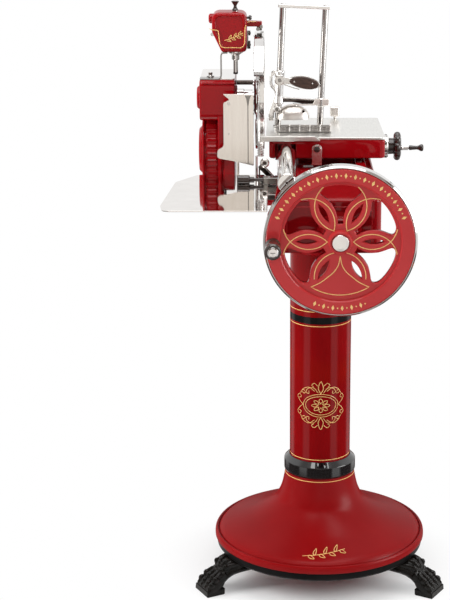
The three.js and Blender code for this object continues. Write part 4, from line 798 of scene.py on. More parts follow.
def add_machine_base():
    node, body, rail = "machine_base", span("machine_base"), span("guide_rail")
    left, right, front, rear = body.x0 + 34, body.x1, body.y0 + 20, body.y1
    bottom, deck, wall, corner = 895, 1022, 10, 26
    shell("base_shell", node, rounded_rect(left, right, front, rear, corner), [
        (wall, deck - wall), (wall, bottom), (2, bottom), (0, bottom + 2), (0, deck - 7), (0.5, deck - 4.3),
        (1.9, deck - 1.9), (4.3, deck - 0.5), (7, deck),
    ])
    block("base_pad", node, left + wall, right - wall, -96, 96, bottom, bottom + wall)
    turned("base_neck", node, "Z", [
        (0, body.z0), (82, body.z0), (82, body.z0 + 30), (94, bottom + 1), (94, bottom + wall), (0, bottom + wall),
    ], 6, at=(0, 0))
    block("base_track", node, 88, 112, front + corner, rear - corner, deck - 4, deck + 15)
    foot = [(rail.x - 28, deck - 4), (rail.x + 28, deck - 4)]
    for name, start in (("front", -215), ("rear", 258)):
        slab("base_saddle_" + name, node, "front", start, start + 40, foot + bow(rail.x, rail.z, 22.2, -28, -152), 1.5)
    turned("base_boss", node, "Y", [
        (21.5, body.y0), (36, body.y0), (40, body.y0 + 5), (42, front - 8), (60, front + 1), (60, front + wall),
        (21.5, front + wall),
    ], 4, 72, at=(HUB_X, HUB_Z))
    block("base_ledge", node, body.x0, left + 6, -90, 60, 988.7, 1002.6, 2, "dark_chrome")
    block("base_lug", node, body.x0, left + 6, 11, 37, 1005.9, deck, 2, "dark_chrome")
    panel = rounded_rect(left + 22, right - 22, 912, 1006, 14, 5)
    slab("base_front_panel", node, "front", front - 2.5, front + 2, panel, 2)


def add_housing():
    node, case = "drive_housing", span("drive_housing")
    right, front, rear, bottom, top, drum_z, drum = -213, case.y0, case.y1, 1140, case.z1, 1052, 90
    at = (case.y, drum_z)
    slab("housing_box", node, "side", case.x0, right, rounded_rect(front, rear, bottom, top, 20), 3.5, steps=4)
    slab("housing_lip", node, "side", case.x0 + 8, right - 1, rounded_rect(front - 0.8, rear, top - 9, top - 4, 2), 1.2)
    drum_profile = [(0, -296), (drum - 6, -296), (drum, -291), (drum, -241), (0, -241)]
    turned("housing_drum", node, "X", drum_profile, 2, 120, at=at)
    ribs, depth = 38, 0.03
    turned("housing_ribs", node, "X", [
        (70, -290.5), (86, -290), (92.5, -287), (94.2, -282), (94.2, -262), (92.5, -257), (86, -254), (70, -253.5),
    ], 2, 12 * ribs, at=at, wave=lambda angle: 1 - depth * abs(math.cos(ribs * angle / 2)))
    for name, x0, x1 in (("left", -296.5, -289.5), ("right", -255.5, -246)):
        turned("housing_flange_" + name, node, "X", [
            (60, x0), (drum + 3, x0), (drum + 5.5, x0 + 2), (drum + 5.5, x1 - 2), (drum + 3, x1), (60, x1),
        ], 2, 120, at=at)
    slab("housing_web", node, "side", -256, -241, [
        (front + 1, drum_z), (front + 1, bottom + 12), (rear - 3, bottom + 12), (rear - 3, drum_z),
    ], 3)
    neck = rounded_rect(case.y - 62, case.y + 62, case.z0 + 14, drum_z, 56)
    slab("housing_neck", node, "side", -291, -214, neck, 4, steps=4)
    slab("housing_cheek", node, "side", -243, -214.5, fillet([
        (front + 8, 1050), (front + 8, 996), (case.y - 40, 914), (case.y + 40, 914), (rear - 8, 996), (rear - 8, 1050),
    ], 14), 3)
    turned("housing_arm", node, "X", [
        (9.4, -224), (46, -224), (42, -212), (36, -202), (36, -122), (42, -113), (42, case.x1), (9.4, case.x1),
    ], 3, 72, at=(case.y, HUB_Z))
    turned("housing_seat", node, "X", [
        (22.4, right - 2), (31, right - 2), (31, right + 2), (29, right + 4), (22.4, right + 4),
    ], 1, 72, at=(case.y, 1185))
    for name, ridge in (("upper_cover", 4), ("lower_cover", 6)):
        radius = span(name).hy
        lathe(name + "_disc", name, "X", [
            (0, 2), (radius - 4 * ridge, 2), (radius - 3 * ridge, 0), (radius - ridge, 0), (radius, ridge),
            (radius, None), (0, None),
        ], 2)


# Blade and guard


def round_disc(radius, degrees):
    """The (y, z) of a place round the blade."""
    disc = span("blade")
    return disc.y + radius * math.cos(math.radians(degrees)), disc.z + radius * math.sin(math.radians(degrees))


def add_blade():
    radius, hollow, grind = span("blade").hy, 0.9, 12
    lathe("blade_disc", "blade", "X", [
        (14.5, 0), (radius - 44, 0), (radius - 40, hollow), (radius - 28, hollow), (radius - grind, 1.2),
        (radius, -0.2), (radius - 0.3, None), (radius - grind, -0.3), (14.5, -0.3),
    ], 0.1, 220, "blade")
    hub = span("blade_hub")
    lathe("hub_disc", "blade_hub", "X", [(14.4, 3), (hub.hy - 10, 3), (hub.hy, 8), (hub.hy, None), (14.4, None)], 1.5)
    for i, at in enumerate(shifted(oval(42, 42, 6), hub.y, hub.z)):
        rod("hub_screw_%d" % (i + 1), "blade_hub", "X", 4.5, hub.x0, hub.x0 + 7, 0.8, None, at, 24)
    spindle = span("blade_spindle")
    rod("spindle_bar", "blade_spindle", "X", 13.9, spindle.x0, spindle.x1, 1, "chrome")
    sleeve = [(14.3, 0), (22, 0), (22, -22), (20, -20), (20, None), (14.3, None)]
    lathe("bush_sleeve", "spindle_bush", "X", sleeve, 1, 72)


def add_guard():
    node, disc, inner, outer, left = "blade_guard", span("blade"), 156, 166, -165
    for name, x0, x1, near, far, first, last, ease, look, steps in (
        ("rim", left, -141, inner, outer, -62, 152, 1.6, None, 4),
        ("lining", -164, -160, inner - 3.5, inner + 2, -60, 150, 0.8, None, 3),
        # The dark band is a painted dark reflection along part of the rim.
        ("band", -150, -142, outer - 3, outer + 0.5, -58, 96, 0.4, "dark_chrome", 3),
        ("cheek", left, left + 2.5, 70, outer - 2, -62, 62, 0.8, None, 3),
    ):
        sector = bow(disc.y, disc.z, far, first, last, 72) + bow(disc.y, disc.z, near, last, first, 60)
        slab("guard_" + name, node, "side", x0, x1, sector, ease, look, steps=steps)
    # The two rods are the same chrome; the second is painted dark, a painted dark reflection.
    for i, (turn, look) in enumerate(((-18, "chrome"), (18, "chrome_painted_dark"))):
        rod("guard_rod_%d" % (i + 1), node, "X", 6, -212.7, -163, 0.8, look, round_disc(84, turn))
    for i, turn in enumerate((100, 128, 146)):
        rod("guard_screw_%d" % (i + 1), node, "X", 3.6, -166.3, -163, 0.7, None, round_disc(161, turn), 20)


# Plates for the slices, and the release knob


def add_plates():
    plate, sheet, knob = span("receiving_plate"), span("deflector"), span("release_knob")
    outline = scaled([(1, 0), (1, 1), (0.29, 1), (0.08, 0.78), (0, 0.14), (0.03, 0)], 2 * plate.hx, 2 * plate.hy)
    slab("plate_sheet", "receiving_plate", "flat", plate.z0, plate.z1,
         fillet(shifted(outline, plate.x0, plate.y0), [2, 2, 26, 30, 18, 22], 8), 1, "mirror")
    left, right, back, fold = -241, -166, sheet.y0 + 2.5, -180
    outline = scaled([
        (0.92, 1), (0, 1), (0.02, 0.985), (0.17, 0.935), (0.19, 0.92), (0.02, 0.885), (0, 0.86), (0, 0.27),
        (-0.2, 0.225), (-0.22, 0.11), (-0.02, 0.095), (0.5, 0.05), (0.98, 0), (1, 0.02), (1, 0.98),
    ], right - left, 2 * sheet.hz)
    radii = [2, 3, 2, 3, 3, 3, 4, 12, 9, 9, 8, 20, 3, 2, 4]
    slab("deflector_sheet", "deflector", "front", sheet.y0, back, fillet(shifted(outline, left, sheet.z0), radii),
         0.8, "deflector")
    # A thin dark strip down the sheet's fold: painted shade of the crease.
    crease = [(1.2, 6), (1.2, 2 * sheet.hz - 30), (4, 2 * sheet.hz - 12), (8, 2 * sheet.hz - 3)]
    crease = [(-1.2, 8), *crease, *scaled(crease[:0:-1], -1, 1)]
    slab("deflector_fold_shade", "deflector", "front", sheet.y0 - 0.25, sheet.y0 + 0.8, shifted(crease, fold, sheet.z0),
         0.2, "dark_chrome")
    for i, (x, z, radius) in enumerate(((-226.8, 1190, 4), (-227, 1114.3, 2))):
        rod("deflector_rivet_%d" % (i + 1), "deflector", "Y", radius, sheet.y0 - 1.2, back, 0.8, "steel", (x, z), 24)
    rod("deflector_peg", "deflector", "Y", 5, sheet.y0 + 2, sheet.y1, 0.5, "steel", (-227, 1190))
    leg = (-209, -203, sheet.y1 - 4, sheet.y1, sheet.z0 - 36, sheet.z0 + 30)
    block("deflector_leg", "deflector", *leg, 1, "deflector")
    radius, body, collar = knob.hz + 2, 31, 42
    lathe("release_turned", "release_knob", "X", [
        (0, 0), (radius - 1.6, 0), (radius, 2), (radius, body - 2), (radius - 2, body), (7, body), (7, collar),
        (4, collar), (4, None), (0, None),
    ], 0.8, 64, "dark_grip")


# Sharpener


def sharpener_outline(step):
    case = span("sharpener_case")
    left, right, bottom, top = -269 + step, -183 - step, case.z0 + step, case.z1 - step
    round_top, toe = 20 - 0.7 * step, -245 + 0.8 * step
    return fillet([(toe, bottom), (right, bottom), (right, top), (left, top), (left, 1359)],
                  [9, 12, round_top, round_top, 12], 10)


def add_sharpener():
    node, front, rear, right, beam_y, beam_z = "sharpener_case", 150, 230, -146, 204, 1366
    shell("sharpener_shell", node, sharpener_outline, [
        (10, front + 2.6), (9, front + 2.2), (8.2, front + 0.8), (7.4, front), (6, front), (3.2, front + 1),
        (1.2, front + 3), (0.2, front + 6), (0, front + 9), (0, rear - 6), (1.8, rear - 1.8), (6, rear),
    ], True)
    slab("sharpener_arm", node, "front", beam_y, beam_y + 24, fillet([
        (-188, beam_z), (right - 6, beam_z), (right, beam_z + 3), (right, beam_z + 12), (-188, beam_z + 14),
    ], 3), 2)
    block("sharpener_clamp", node, right - 13, right, beam_y + 3, beam_y + 21, 1356, beam_z + 4, 1.5, "chrome_painted_dark")
    for i, at in enumerate(((right - 2, 1366), (right - 10, 1360))):
        rod("sharpener_clamp_screw_%d" % (i + 1), node, "Y", 4.5, beam_y - 3, beam_y + 4, 1.2, "dark_chrome", at, 24)
    lathe("sharpener_cap", node, "X", [(0, 0), (8, 0), (12, 3), (12, -262 - span(node).x0), (0, -262 - span(node).x0)],
          2, 64, at=(190, 1388))
    rod("sharpener_catch", node, "Y", 4.5, 160, 172, 1.2, "steel", (-268, 1352), 24)
    line = fillet([
        (-274.5, 1367.6), (-268.5, 1364.6), (-256, 1363.6), (-252.6, 1360.5), (-249.8, 1331), (-245.6, 1322.6),
        (-239.5, 1320.9), (-196.5, 1320.6), (-190.8, 1324.6), (-188.2, 1332.5), (-187.2, 1368.5), (-184.8, 1375.2),
        (-178.3, 1378.5), (-160, 1378.5),
    ], 4, closed=False)
    line = [(x, front - 0.3 if x < -184 else beam_y - 0.5, z) for x, z in line]
    lining("sharpener_line", [line], BODY_OF[node], 0.95)
    lines = sprig([(-238, 1338), (-222, 1343), (-206, 1349), (-192, 1357)], 11)
    lining("sharpener_sprig", [[(x, front + 2.2, z) for x, z in line] for line in lines], BODY_OF[node], 0.75)
    add_sharpener_fittings()


def add_sharpener_fittings():
    strip = span("sharpener_bracket")
    foot = strip.z0 + 1.5
    bend = fillet([(strip.x0, foot), (-247, foot), (-247, 1307.2), (-231, 1307.2)], [0, 10, 9, 0], 8, False)
    slab("bracket_strip", "sharpener_bracket", "front", 150, 184, strip_outline(bend, 3.2), 0.5, "dark_chrome")
    foot_limits = (strip.x0, strip.x1, 152, span("drive_housing").y1 - 3, strip.z0, strip.z0 + 2.6)
    block("bracket_foot", "sharpener_bracket", *foot_limits, 0.8, "mirror", 8)
    lathe("thumb_screw_head", "bracket_thumb_screw", "Z", [
        (0, 0), (10, 0), (10, 2.6), (5, 3.4), (6.2, 8), (5, -1), (0, None),
    ], 1.2, 48)
    lathe("guide_flange", "plunger_guide", "Z", [
        (6.3, 0), (9, 0), (10, 2), (10, -11), (14, -8), (19, -5), (19, None), (6.3, None),
    ], 1, 72)
    lathe("plunger_pin", "plunger", "Z", [(0, 4), (6, 4), (6, None), (0, None)], 0.5, 48)
    lathe("plunger_tip", "plunger", "Z", [(0, 0), (5, 0), (6, 1), (6, 6), (0, 6)], 0.5, 48, "dark_grip")
    lathe("knob_spool", "top_knob", "Z", scaled([
        (0, 0), (8, 0), (8, 0.1), (5.4, 0.24), (3.6, 0.42), (4.2, 0.56), (9.2, 0.88), (10, 0.96), (7, 1), (0, 1),
    ], 1, 2 * span("top_knob").hz), 1.6, 64)
    left = -182.7
    for i, (z, radius) in enumerate(((1323, 10), (1352, 6))):
        turned("stone_%d" % (i + 1), "sharpening_stones", "X", [
            (0, left), (radius, left), (radius, left + 8), (2.5, left + 8), (2.5, left + 9.1), (0, left + 9.1),
        ], 0.7, 48, at=(190, z))
    block("stone_carrier", "sharpening_stones", left, left + 3, 184, 196, 1317, 1358, 0.8, "dark_chrome")
    lathe("button_head", "side_button", "X", [(0, 0), (3, 0), (3, -8), (6, -7), (6, -3), (4, None), (0, None)], 0.8, 40)


# Rail, carriage and table


def add_rail():
    radius = span("guide_rail").hx
    lathe("rail_bar", "guide_rail", "Y", [
        (0, 0.8), (3, 0.8), (3.4, 0), (radius - 1.5, 0), (radius, 1.5), (radius, -2), (radius - 2, None), (0, None),
    ], 0.6, 120)


def add_carriage():
    node = "carriage_body"
    body, rail, roller, screw = map(span, (node, "guide_rail", "carriage_roller", "feed_screw"))
    bottom, deck, left, right, wall, corner = 1049, 1086, -113, -62, 9, 14
    shell("carriage_deck", node, rounded_rect(body.x0, body.x1, body.y0, body.y1, corner), [
        (1, deck), (0, deck), (0, body.z1 - 2), (0.6, body.z1 - 0.6), (2, body.z1),
    ])
    shell("carriage_pan", node, rounded_rect(right, body.x1, body.y0, body.y1, [3, corner, corner, 3]), [
        (wall, deck), (wall, bottom), (5, bottom), (1.5, bottom + 1.5), (0, bottom + 5), (0, deck),
    ])
    shell("carriage_cheek", node, rounded_rect(body.x0, left, body.y0, body.y1, [12, 3, 3, 12]), [
        (5, bottom), (2, bottom + 1.2), (0, bottom + 5), (0, deck),
    ])
    low = body.z0 + 6
    outline = [(left - 4, low), (left - 4, deck + 1), (right + 4, deck + 1), (right + 4, low)]
    slab("carriage_bearing", node, "front", 160, 250, outline + bow(rail.x, rail.z, 22.3, -46, 226, 40), 0.8)
    for i, x in enumerate((roller.x - 8.8, roller.x + 8.8)):
        block("roller_lug_%d" % (i + 1), node, x - 2.4, x + 2.4, 188, 212, roller.z0 + 4, deck + 2)
    middle = roller.hx
    lathe("roller_wheel", "carriage_roller", "X", [
        (0, 0), (4, 0), (4, middle - 6), (11, middle - 6), (12, middle - 4), (12, middle + 4), (11, middle + 6),
        (4, middle + 6), (4, None), (0, None),
    ], 0.6, 64)
    for name, x0, x1 in (("left", right + 5, right + 18), ("right", body.x1 - 18, body.x1)):
        rod("screw_boss_" + name, node, "X", 16, x0, x1, at=(screw.y, screw.z))


def add_feed():
    screw, ring = span("feed_screw"), span("index_collar")
    rod("feed_bar", "feed_screw", "X", 7.9, screw.x0, screw.x1)
    lathe("collar_ring", "index_collar", "X", [
        (8.4, 0), (29, 0), (30, 1), (30, -3), (28.6, -2), (28.6, None), (8.4, None),
    ], 0.6, 120)
    start, marks = ring.x1 - 3.2, []
    for i, (y, z) in enumerate(shifted(oval(30.1, 30.1, 40), ring.y, ring.z)):
        marks.append(tube_mesh("mark", [(start, y, z), (start - (3 if i % 5 else 5), y, z)], 0.35))
    gather("collar_marks", marks, "dark_grip", "index_collar")
    spot = math.radians(146)
    y, z = ring.y + 29.2 * math.cos(spot), ring.z + 29.2 * math.sin(spot)
    mesh = turned_mesh("collar_dot", [(0, 0), (2.4, 0), (2.4, 1.4), (0, 1.4)], "Z", segments=20)
    turn = Matrix.Rotation(spot - math.pi / 2, 4, "X")
    mesh.transform(Matrix.Translation(place(ring.x0 + 7, y, z)) @ turn @ Matrix.Translation(-ORIGIN))
    new_object("collar_dot", mesh, "dark_grip", "index_collar")
    add_hand_knob((ring.y, ring.z), ring.x1)


def add_hand_knob(at, collar_end):
    knob, stub, grip = map(span, ("hand_knob", "grip_stub", "spinner_grip"))
    radius, start, lobes = knob.hz, knob.x1 - 19, 8
    turned("knob_lobes", "hand_knob", "X", [
        (0, start + 2), (22, start), (30, start + 0.6), (35, start + 3.5), (radius, start + 8), (radius, start + 12),
        (35, start + 16), (29, knob.x1 - 0.4), (22, knob.x1), (0, knob.x1 - 2),
    ], 2, 256, at=at, wave=lambda angle: 1 - 0.12 * (1 - abs(math.cos(lobes * angle / 2)) ** 0.8))
    turned("knob_neck", "hand_knob", "X", [
        (8.4, collar_end + 0.3), (20, collar_end + 0.3), (21, collar_end + 1.5), (20, start + 4), (8.4, start + 4),
    ], 1, 72, at=at)
    turned("stub_pin", "grip_stub", "X", [
        (0, stub.x0), (5, stub.x0), (5, knob.x1), (6.6, knob.x1 + 0.4), (6.6, knob.x1 + 3), (6, knob.x1 + 4),
        (6, grip.x0 - 2), (3.4, grip.x0 - 1), (3.4, stub.x1), (0, stub.x1),
    ], 0.5, 48)
    shape = smooth_line([
        (5.6, 0.02), (6.2, 0.1), (5.4, 0.3), (4.8, 0.5), (5.4, 0.64), (8, 0.76), (9, 0.86), (8, 0.95), (5, 0.99),
    ], 5)
    lathe("spinner_turned", "spinner_grip", "X", scaled([(3.8, 0), *shape, (0, 1)], 1, 2 * grip.hx), 0.3, 56,
          at=(stub.y, stub.z))


def add_linkage():
    """The small chrome work between the blade and the rail."""
    node, y, at = "machine_base", 84, (-139, 1044)
    turned("link_wheel", node, "Y", [
        (5, y), (9, y), (12, y + 2), (12, y + 7), (9, y + 9), (5, y + 9),
    ], 1, 48, "chrome", at, lambda angle: 1 - 0.06 * abs(math.sin(12 * angle)))
    rod("link_wheel_core", node, "Y", 6, y + 1.5, y + 12, 1, "chrome_painted_dark", at)
    worm = [(0, 1061)]
    for i in range(6):
        worm += shifted([(8, 0), (8, 3), (5.5, 3.6), (5.5, 5.4)], 0, 1061 + 6 * i)
    turned("link_worm", node, "Z", [*worm, (0, 1096)], 0.8, 48, "chrome", (-149, y + 6))
    # The bar is chrome painted dark, a painted dark reflection, and the chrome strip along its upper edge is a painted
    # highlight.
    bar = strip_outline([(-152, 1037), (-112, 995)], 11)
    slab("link_bar", node, "front", y + 2, y + 7, fillet(bar, 3), 1, "chrome_painted_dark")
    edge = strip_outline([(-147, 1043), (-107, 1001)], 2.6)
    slab("link_bar_painted_highlight", node, "front", y, y + 6, fillet(edge, 1), 0.6, "chrome")
    rod("link_post", node, "Z", 3, 930, 1062, 1, "chrome", (-159, y + 4))
    rod("link_post_inner", node, "Z", 2, 934, 1030, 1, "dark_chrome", (-152, y + 8))
    for i in range(4):
        ring = shifted(oval(5, 7.5, 16), -146, 975 - 13 * i)
        mesh = tube_mesh("link_ring", [(x, y + 4 + (i % 2) * 3, z) for x, z in ring], 1.7, True)
        new_object("link_ring_%d" % (i + 1), mesh, "chrome", node)


def add_table():
    nodes = ("meat_table", "carriage_lip", "strap_bracket", "strap_bolt", "stop_knob")
    sheet, lip, strap, bolt, knob = map(span, nodes)
    low = 1096
    slab("table_top", "meat_table", "flat", low, sheet.z1, fillet([
        (sheet.x0, sheet.y0), (sheet.x1, sheet.y0), (sheet.x1 - 3, sheet.y1), (sheet.x0, sheet.y1),
    ], [3, 12, 8, 3], 8), 1.2, "table")
    block("table_nut", "meat_table", -41, -15, 249, 275, 1043, low + 1, 1, "steel")
    slab("lip_bar", "carriage_lip", "front", lip.y0, lip.y1, fillet([
        (lip.x0 + 10, lip.z0 + 6), (lip.x1, lip.z0 + 7), (lip.x1, lip.z0 + 9), (lip.x1 - 12, lip.z1), (lip.x0, lip.z1),
        (lip.x0, lip.z0 + 10),
    ], [4, 1, 1, 4, 2, 2]), 1.4, "table")
    outline = [(strap.x0, strap.z0), (strap.x1, strap.z0), *bow(strap.x, strap.z1 - strap.hx, strap.hx, 0, 180, 24)]
    slab("strap_plate", "strap_bracket", "front", strap.y0, strap.y1, outline, 0.7, "steel")
    lathe("bolt_head", "strap_bolt", "Y", [(0, 0), (4, 0.3), (7, 2), (8, 4), (8, None), (0, None)], 0.8, 48)
    rod("bolt_washer", "strap_bolt", "Y", 10.4, bolt.y1 - 1.2, bolt.y1, 0.4, "chrome")
    slab("stop_block", "stop_knob", "flat", knob.z0 + 7, knob.z1 + 9,
         rounded_rect(knob.x0 - 3, knob.x1 + 1.5, knob.y0, knob.y1, 6), 4.5, "soft_nickel", steps=5)
    rod("stop_stem", "stop_knob", "Z", 4, knob.z0, knob.z0 + 12, 0.5, "steel")


# Meat clamp, in its own frame that leans to the right


CLAMP_X, CLAMP_Y, CLAMP_Z, LEAN = -53, 270, 1102, math.radians(2.5)
HALF_SPAN, LEVER_Y, LEVER_Z = 54, -22, 122


def lean(piece):
    """Tilts a piece drawn upright with its frame's foot at the clamp's foot."""
    foot = Matrix.Translation(place(CLAMP_X, CLAMP_Y, CLAMP_Z))
    piece.data.transform(foot @ Matrix.Rotation(LEAN, 4, "Y") @ foot.inverted())


def clamp_turned(name, node, x, profile, ease, segments=64, look=None):
    lean(turned(name, node, "Z", shifted(profile, 0, CLAMP_Z), ease, segments, look, (CLAMP_X + x, CLAMP_Y)))


def clamp_slab(name, node, y0, y1, outline, ease, look=None, holes=(), steps=3):
    outline, *holes = [shifted(line, CLAMP_X, CLAMP_Z) for line in (outline, *holes)]
    lean(slab(name, node, "front", CLAMP_Y + y0, CLAMP_Y + y1, outline, ease, look, holes, steps))


def clamp_rod(name, node, radius, y0, y1, x, z, ease, look=None):
    lean(rod(name, node, "Y", radius, CLAMP_Y + y0, CLAMP_Y + y1, ease, look, (CLAMP_X + x, CLAMP_Z + z)))


def add_clamp_frame():
    height, post, top = 302, 8, 311
    for name, x in (("left_post", -HALF_SPAN), ("right_post", HALF_SPAN)):
        foot = x * math.tan(LEAN) + 0.8
        bar = [(0, foot), (post, foot), (post, height), (0, height)]
        clamp_turned(name + "_bar", name, x, bar, 0.6, 64, "post_chrome")
        nut = [(post, 0.6), (post + 4, 0.6), (post + 4, 5), (post, 6)]
        clamp_turned(name + "_nut", name, x, shifted(nut, 0, foot), 0.8)
    bar = fillet([(-66, height + 0.4), (66, height + 0.4), (66, top), (-66, top)], 2.5)
    clamp_slab("top_bar_slab", "clamp_top_bar", -9, 9, bar, 1.6)
    for i, x in enumerate((-HALF_SPAN, HALF_SPAN)):
        clamp_turned("top_bar_nut_%d" % (i + 1), "clamp_top_bar", x, [
            (0, top - 3), (6, top - 3), (6, top + 1.8), (3, top + 2.4), (0, top + 2.4),
        ], 0.8, 32)


def add_clamp_head():
    node, post, bottom, top, right_top, bar_z, end = "clamp_head", 8.4, 58, 144, 78, 68, HALF_SPAN - 6
    clamp_turned("head_left_sleeve", node, -HALF_SPAN, [
        (post, bottom), (12, bottom), (13, bottom + 3), (12, bottom + 8), (10.8, bottom + 20), (11.4, top - 30),
        (13, top - 12), (13, top - 3), (11, top), (post, top),
    ], 2)
    clamp_turned("head_right_sleeve", node, HALF_SPAN, [
        (post, bottom - 1), (12, bottom - 1), (13, bottom + 2), (13, right_top - 3), (11, right_top), (post, right_top),
    ], 1.2)
    # The bar is chrome painted dark, a painted dark reflection, with a chrome strip along its top edge as a painted
    # highlight.
    bar = [(-end, -5), (-20, -4), (10, -7), (end, -7), (end, 5), (10, 5), (-20, 6), (-end, 7)]
    clamp_slab("head_bar", node, -6, 6, fillet(shifted(bar, 0, bar_z), 3), 2.5, "chrome_painted_dark")
    edge = [(4 - end, 5), (end, 3.5), (end, 6), (4 - end, 8)]
    clamp_slab("head_bar_painted_highlight", node, -7.2, 6, fillet(shifted(edge, 0, bar_z), 1), 0.8, "chrome")
    nickel = [(-22, -8), (20, -8), (20, 9), (-15, 9)]
    clamp_slab("head_block", node, -12.6, -5, fillet(shifted(nickel, HALF_SPAN, bar_z), 3), 1.2, "soft_nickel")
    brace = smooth_line(shifted([(HALF_SPAN - 16, -7), (8, -8.5), (-18, -10), (-36, -15), (-50, -25)], 0, bar_z))
    clamp_slab("head_brace", node, -11, -3, strip_outline(brace, 4), 1, "soft_nickel")
    web = smooth_line([
        (-50, top - 8), (-60, top), (-74, top - 3), (-80, top - 16), (-78, 104), (-66, 88), (-70, 66), (-78, 40),
        (-77, 16), (-66, 15), (-63, 40), (-54, 60), (-48, 90),
    ], closed=True)
    hole = smooth_line([(-66, 132), (-72, 126), (-72, 110), (-67, 104)], closed=True)
    clamp_slab("head_web", node, -6, 6, web, 2.8, None, [hole], 4)
    clamp_rod("head_boss", node, 12.5, LEVER_Y + 9, -2, -HALF_SPAN, LEVER_Z, 2)
    clamp_rod("head_knuckle", node, 9, -16, 8, -58, 46, 2.5)
    clamp_rod("head_knuckle_cap", node, 5, -18.5, -15, -58, 46, 1.2, "dark_chrome")
    arm = smooth_line([(-62, 52), (-50, 40), (-34, 34), (-20, 36)])
    clamp_slab("head_arm", node, -5, 5, strip_outline(arm, 8), 1.8)


# The upper and the lower edge of the lever's leaf: shares of its length and its half height.
LEAF_EDGES = (
    ((0, 0), (0.05, 0.42), (0.17, 0.78), (0.42, 1), (0.68, 0.86), (0.9, 0.42), (1, -0.1)),
    ((0, 0), (0.06, -0.34), (0.2, -0.68), (0.45, -0.98), (0.72, -1), (0.92, -0.66), (1, -0.1)),
)


def drooped(points):
    """Points about the lever's pin, turned down to the right with the lever."""
    return shifted(turned_points(points, math.radians(-3)), -HALF_SPAN, LEVER_Z)


def lever_leaf(x0, x1, height):
    upper, lower = (smooth_line(shifted(scaled(edge, x1 - x0, height), x0, 0)) for edge in LEAF_EDGES)
    return drooped(upper + lower[-2:0:-1])


def add_lever():
    start, end, half, y = 24, 104, 15, LEVER_Y
    clamp_slab("lever_blank", "clamp_lever", y - 2.2, y + 2.2, lever_leaf(start - 5, end, half + 1.6), 0.8)
    neck = fillet([(0, 10), (14, 9), (26, 8), (36, 9), (36, -5), (26, -8), (14, -9), (0, -10)], 3)
    clamp_slab("lever_neck", "clamp_lever", y - 4.6, y + 4.6, drooped(neck), 2)
    tail = smooth_line([(4, -9), (18, -12), (34, -16), (52, -19)])
    clamp_slab("lever_spring", "clamp_lever", y - 1.5, y + 3.5, drooped(strip_outline(tail, 2.4)), 0.6)
    clamp_rod("lever_head", "clamp_lever", 13.5, y - 5, y + 5, -HALF_SPAN, LEVER_Z, 2.6)
    clamp_rod("lever_pin", "clamp_lever", 5, y - 8, y + 12, -HALF_SPAN, LEVER_Z, 1, "dark_chrome")
    for side, y0 in (("front", y - 8.6), ("rear", y + 2.3)):
        clamp_slab("scale_" + side, "lever_scales", y0, y0 + 6.3, lever_leaf(start, end - 3, half), 3, "wood", steps=5)
    for i, share in enumerate((0.16, 0.74)):
        at = drooped([(start + share * (end - start), 0)])[0]
        clamp_rod("rivet_%d" % (i + 1), "lever_scales", 2, y - 9.1, y + 9.1, *at, 0.5, "chrome")


def add_shoe():
    """The pressing shoe: a long hollow dome with rounded ends, and the stem that carries it."""
    left, right, low, rise, half, thick = -58, 27, 19, 34, 26, 2.5
    rows, columns = 36, 20
    bm = bmesh.new()
    layers = []
    for shrink in (0, thick):
        grid = []
        for i in range(rows + 1):
            u = math.sin(math.pi / 2 * (-1 + 2 * i / rows))
            round_off = max(1 - abs(u) ** 2.4, 0.002) ** 0.5
            x = (left + right) / 2 + u * ((right - left) / 2 - shrink)
            turns = [math.pi * (j / columns - 0.5) for j in range(columns + 1)]
            grid.append([bm.verts.new((
                x, (half - shrink) * round_off * math.sin(turn),
                low + 5 * (u + 1) / 2 + (rise - shrink) * round_off * math.cos(turn),
            )) for turn in turns])
        for here, after in zip(grid, grid[1:]):
            bridge(bm, here, after, False)
        layers.append([row[0] for row in grid] + grid[-1][1:-1] + [row[-1] for row in grid[::-1]] + grid[0][-2:0:-1])
    bridge(bm, *layers)
    mesh = finish_mesh(bm, "shoe_spoon", None, (CLAMP_X, CLAMP_Y, CLAMP_Z))
    lean(new_object("shoe_spoon", mesh, "soft_nickel", "clamp_shoe"))
    top = low + rise
    clamp_turned("shoe_stem", "clamp_shoe", -12, [(0, top - 6), (9, top - 2), (7, top + 2), (6, 61), (0, 61)], 1.5, 40)
    clamp_rod("shoe_screw", "clamp_shoe", 3.4, -22, -8, 10, top - 9, 0.6, "chrome_painted_dark")


def add_comb():
    node, bar = "clamp_comb", span("clamp_comb")
    left = bar.x0 - 14
    block("comb_bar", node, left, bar.x1, bar.y0 + 2.2, bar.y1, bar.z0, bar.z1 - 2, 0.8, "chrome_painted_dark")
    count, group = 40, 8
    pitch = (bar.x1 - left - 4) / count
    rows = (("ribs", "post_chrome", 0.8, 3, False), ("dividers", "chrome", 1.5, 0, True))
    for name, look, radius, lower, wide in rows:
        low, high = bar.z0 + 1, bar.z1 - lower
        gather("comb_" + name, [
            turned_mesh("rib", [(0, low), (radius, low), (radius, high), (0, high)], "Z",
                        (left + 2 + i * pitch, bar.y0 + 1.9, 0), 10)
            for i in range(count + 1) if (i % group == 0) == wide
        ], look, node)
    for i, z in enumerate((bar.z0 + 2.4, bar.z1 - 4)):
        rod("comb_rail_%d" % (i + 1), node, "X", 1.1, left, bar.x1, 0.3, "dark_chrome", (bar.y0 + 1.6, z))


# Camera, light and floor


ROOM = 0.28
FLAG_REACH = 4.0


def add_lamp(name, at, size, energy, mirrored_in_metal=False, target=(0, 0, 800)):
    data = bpy.data.lights.new(name, "AREA")
    data.shape, data.energy = "RECTANGLE", energy
    data.size, data.size_y = size
    lamp = linked(name, data)
    lamp.location = place(*at)
    lamp.visible_glossy = mirrored_in_metal
    lamp.rotation_euler = (place(*target) - lamp.location).to_track_quat("-Z", "Y").to_euler()


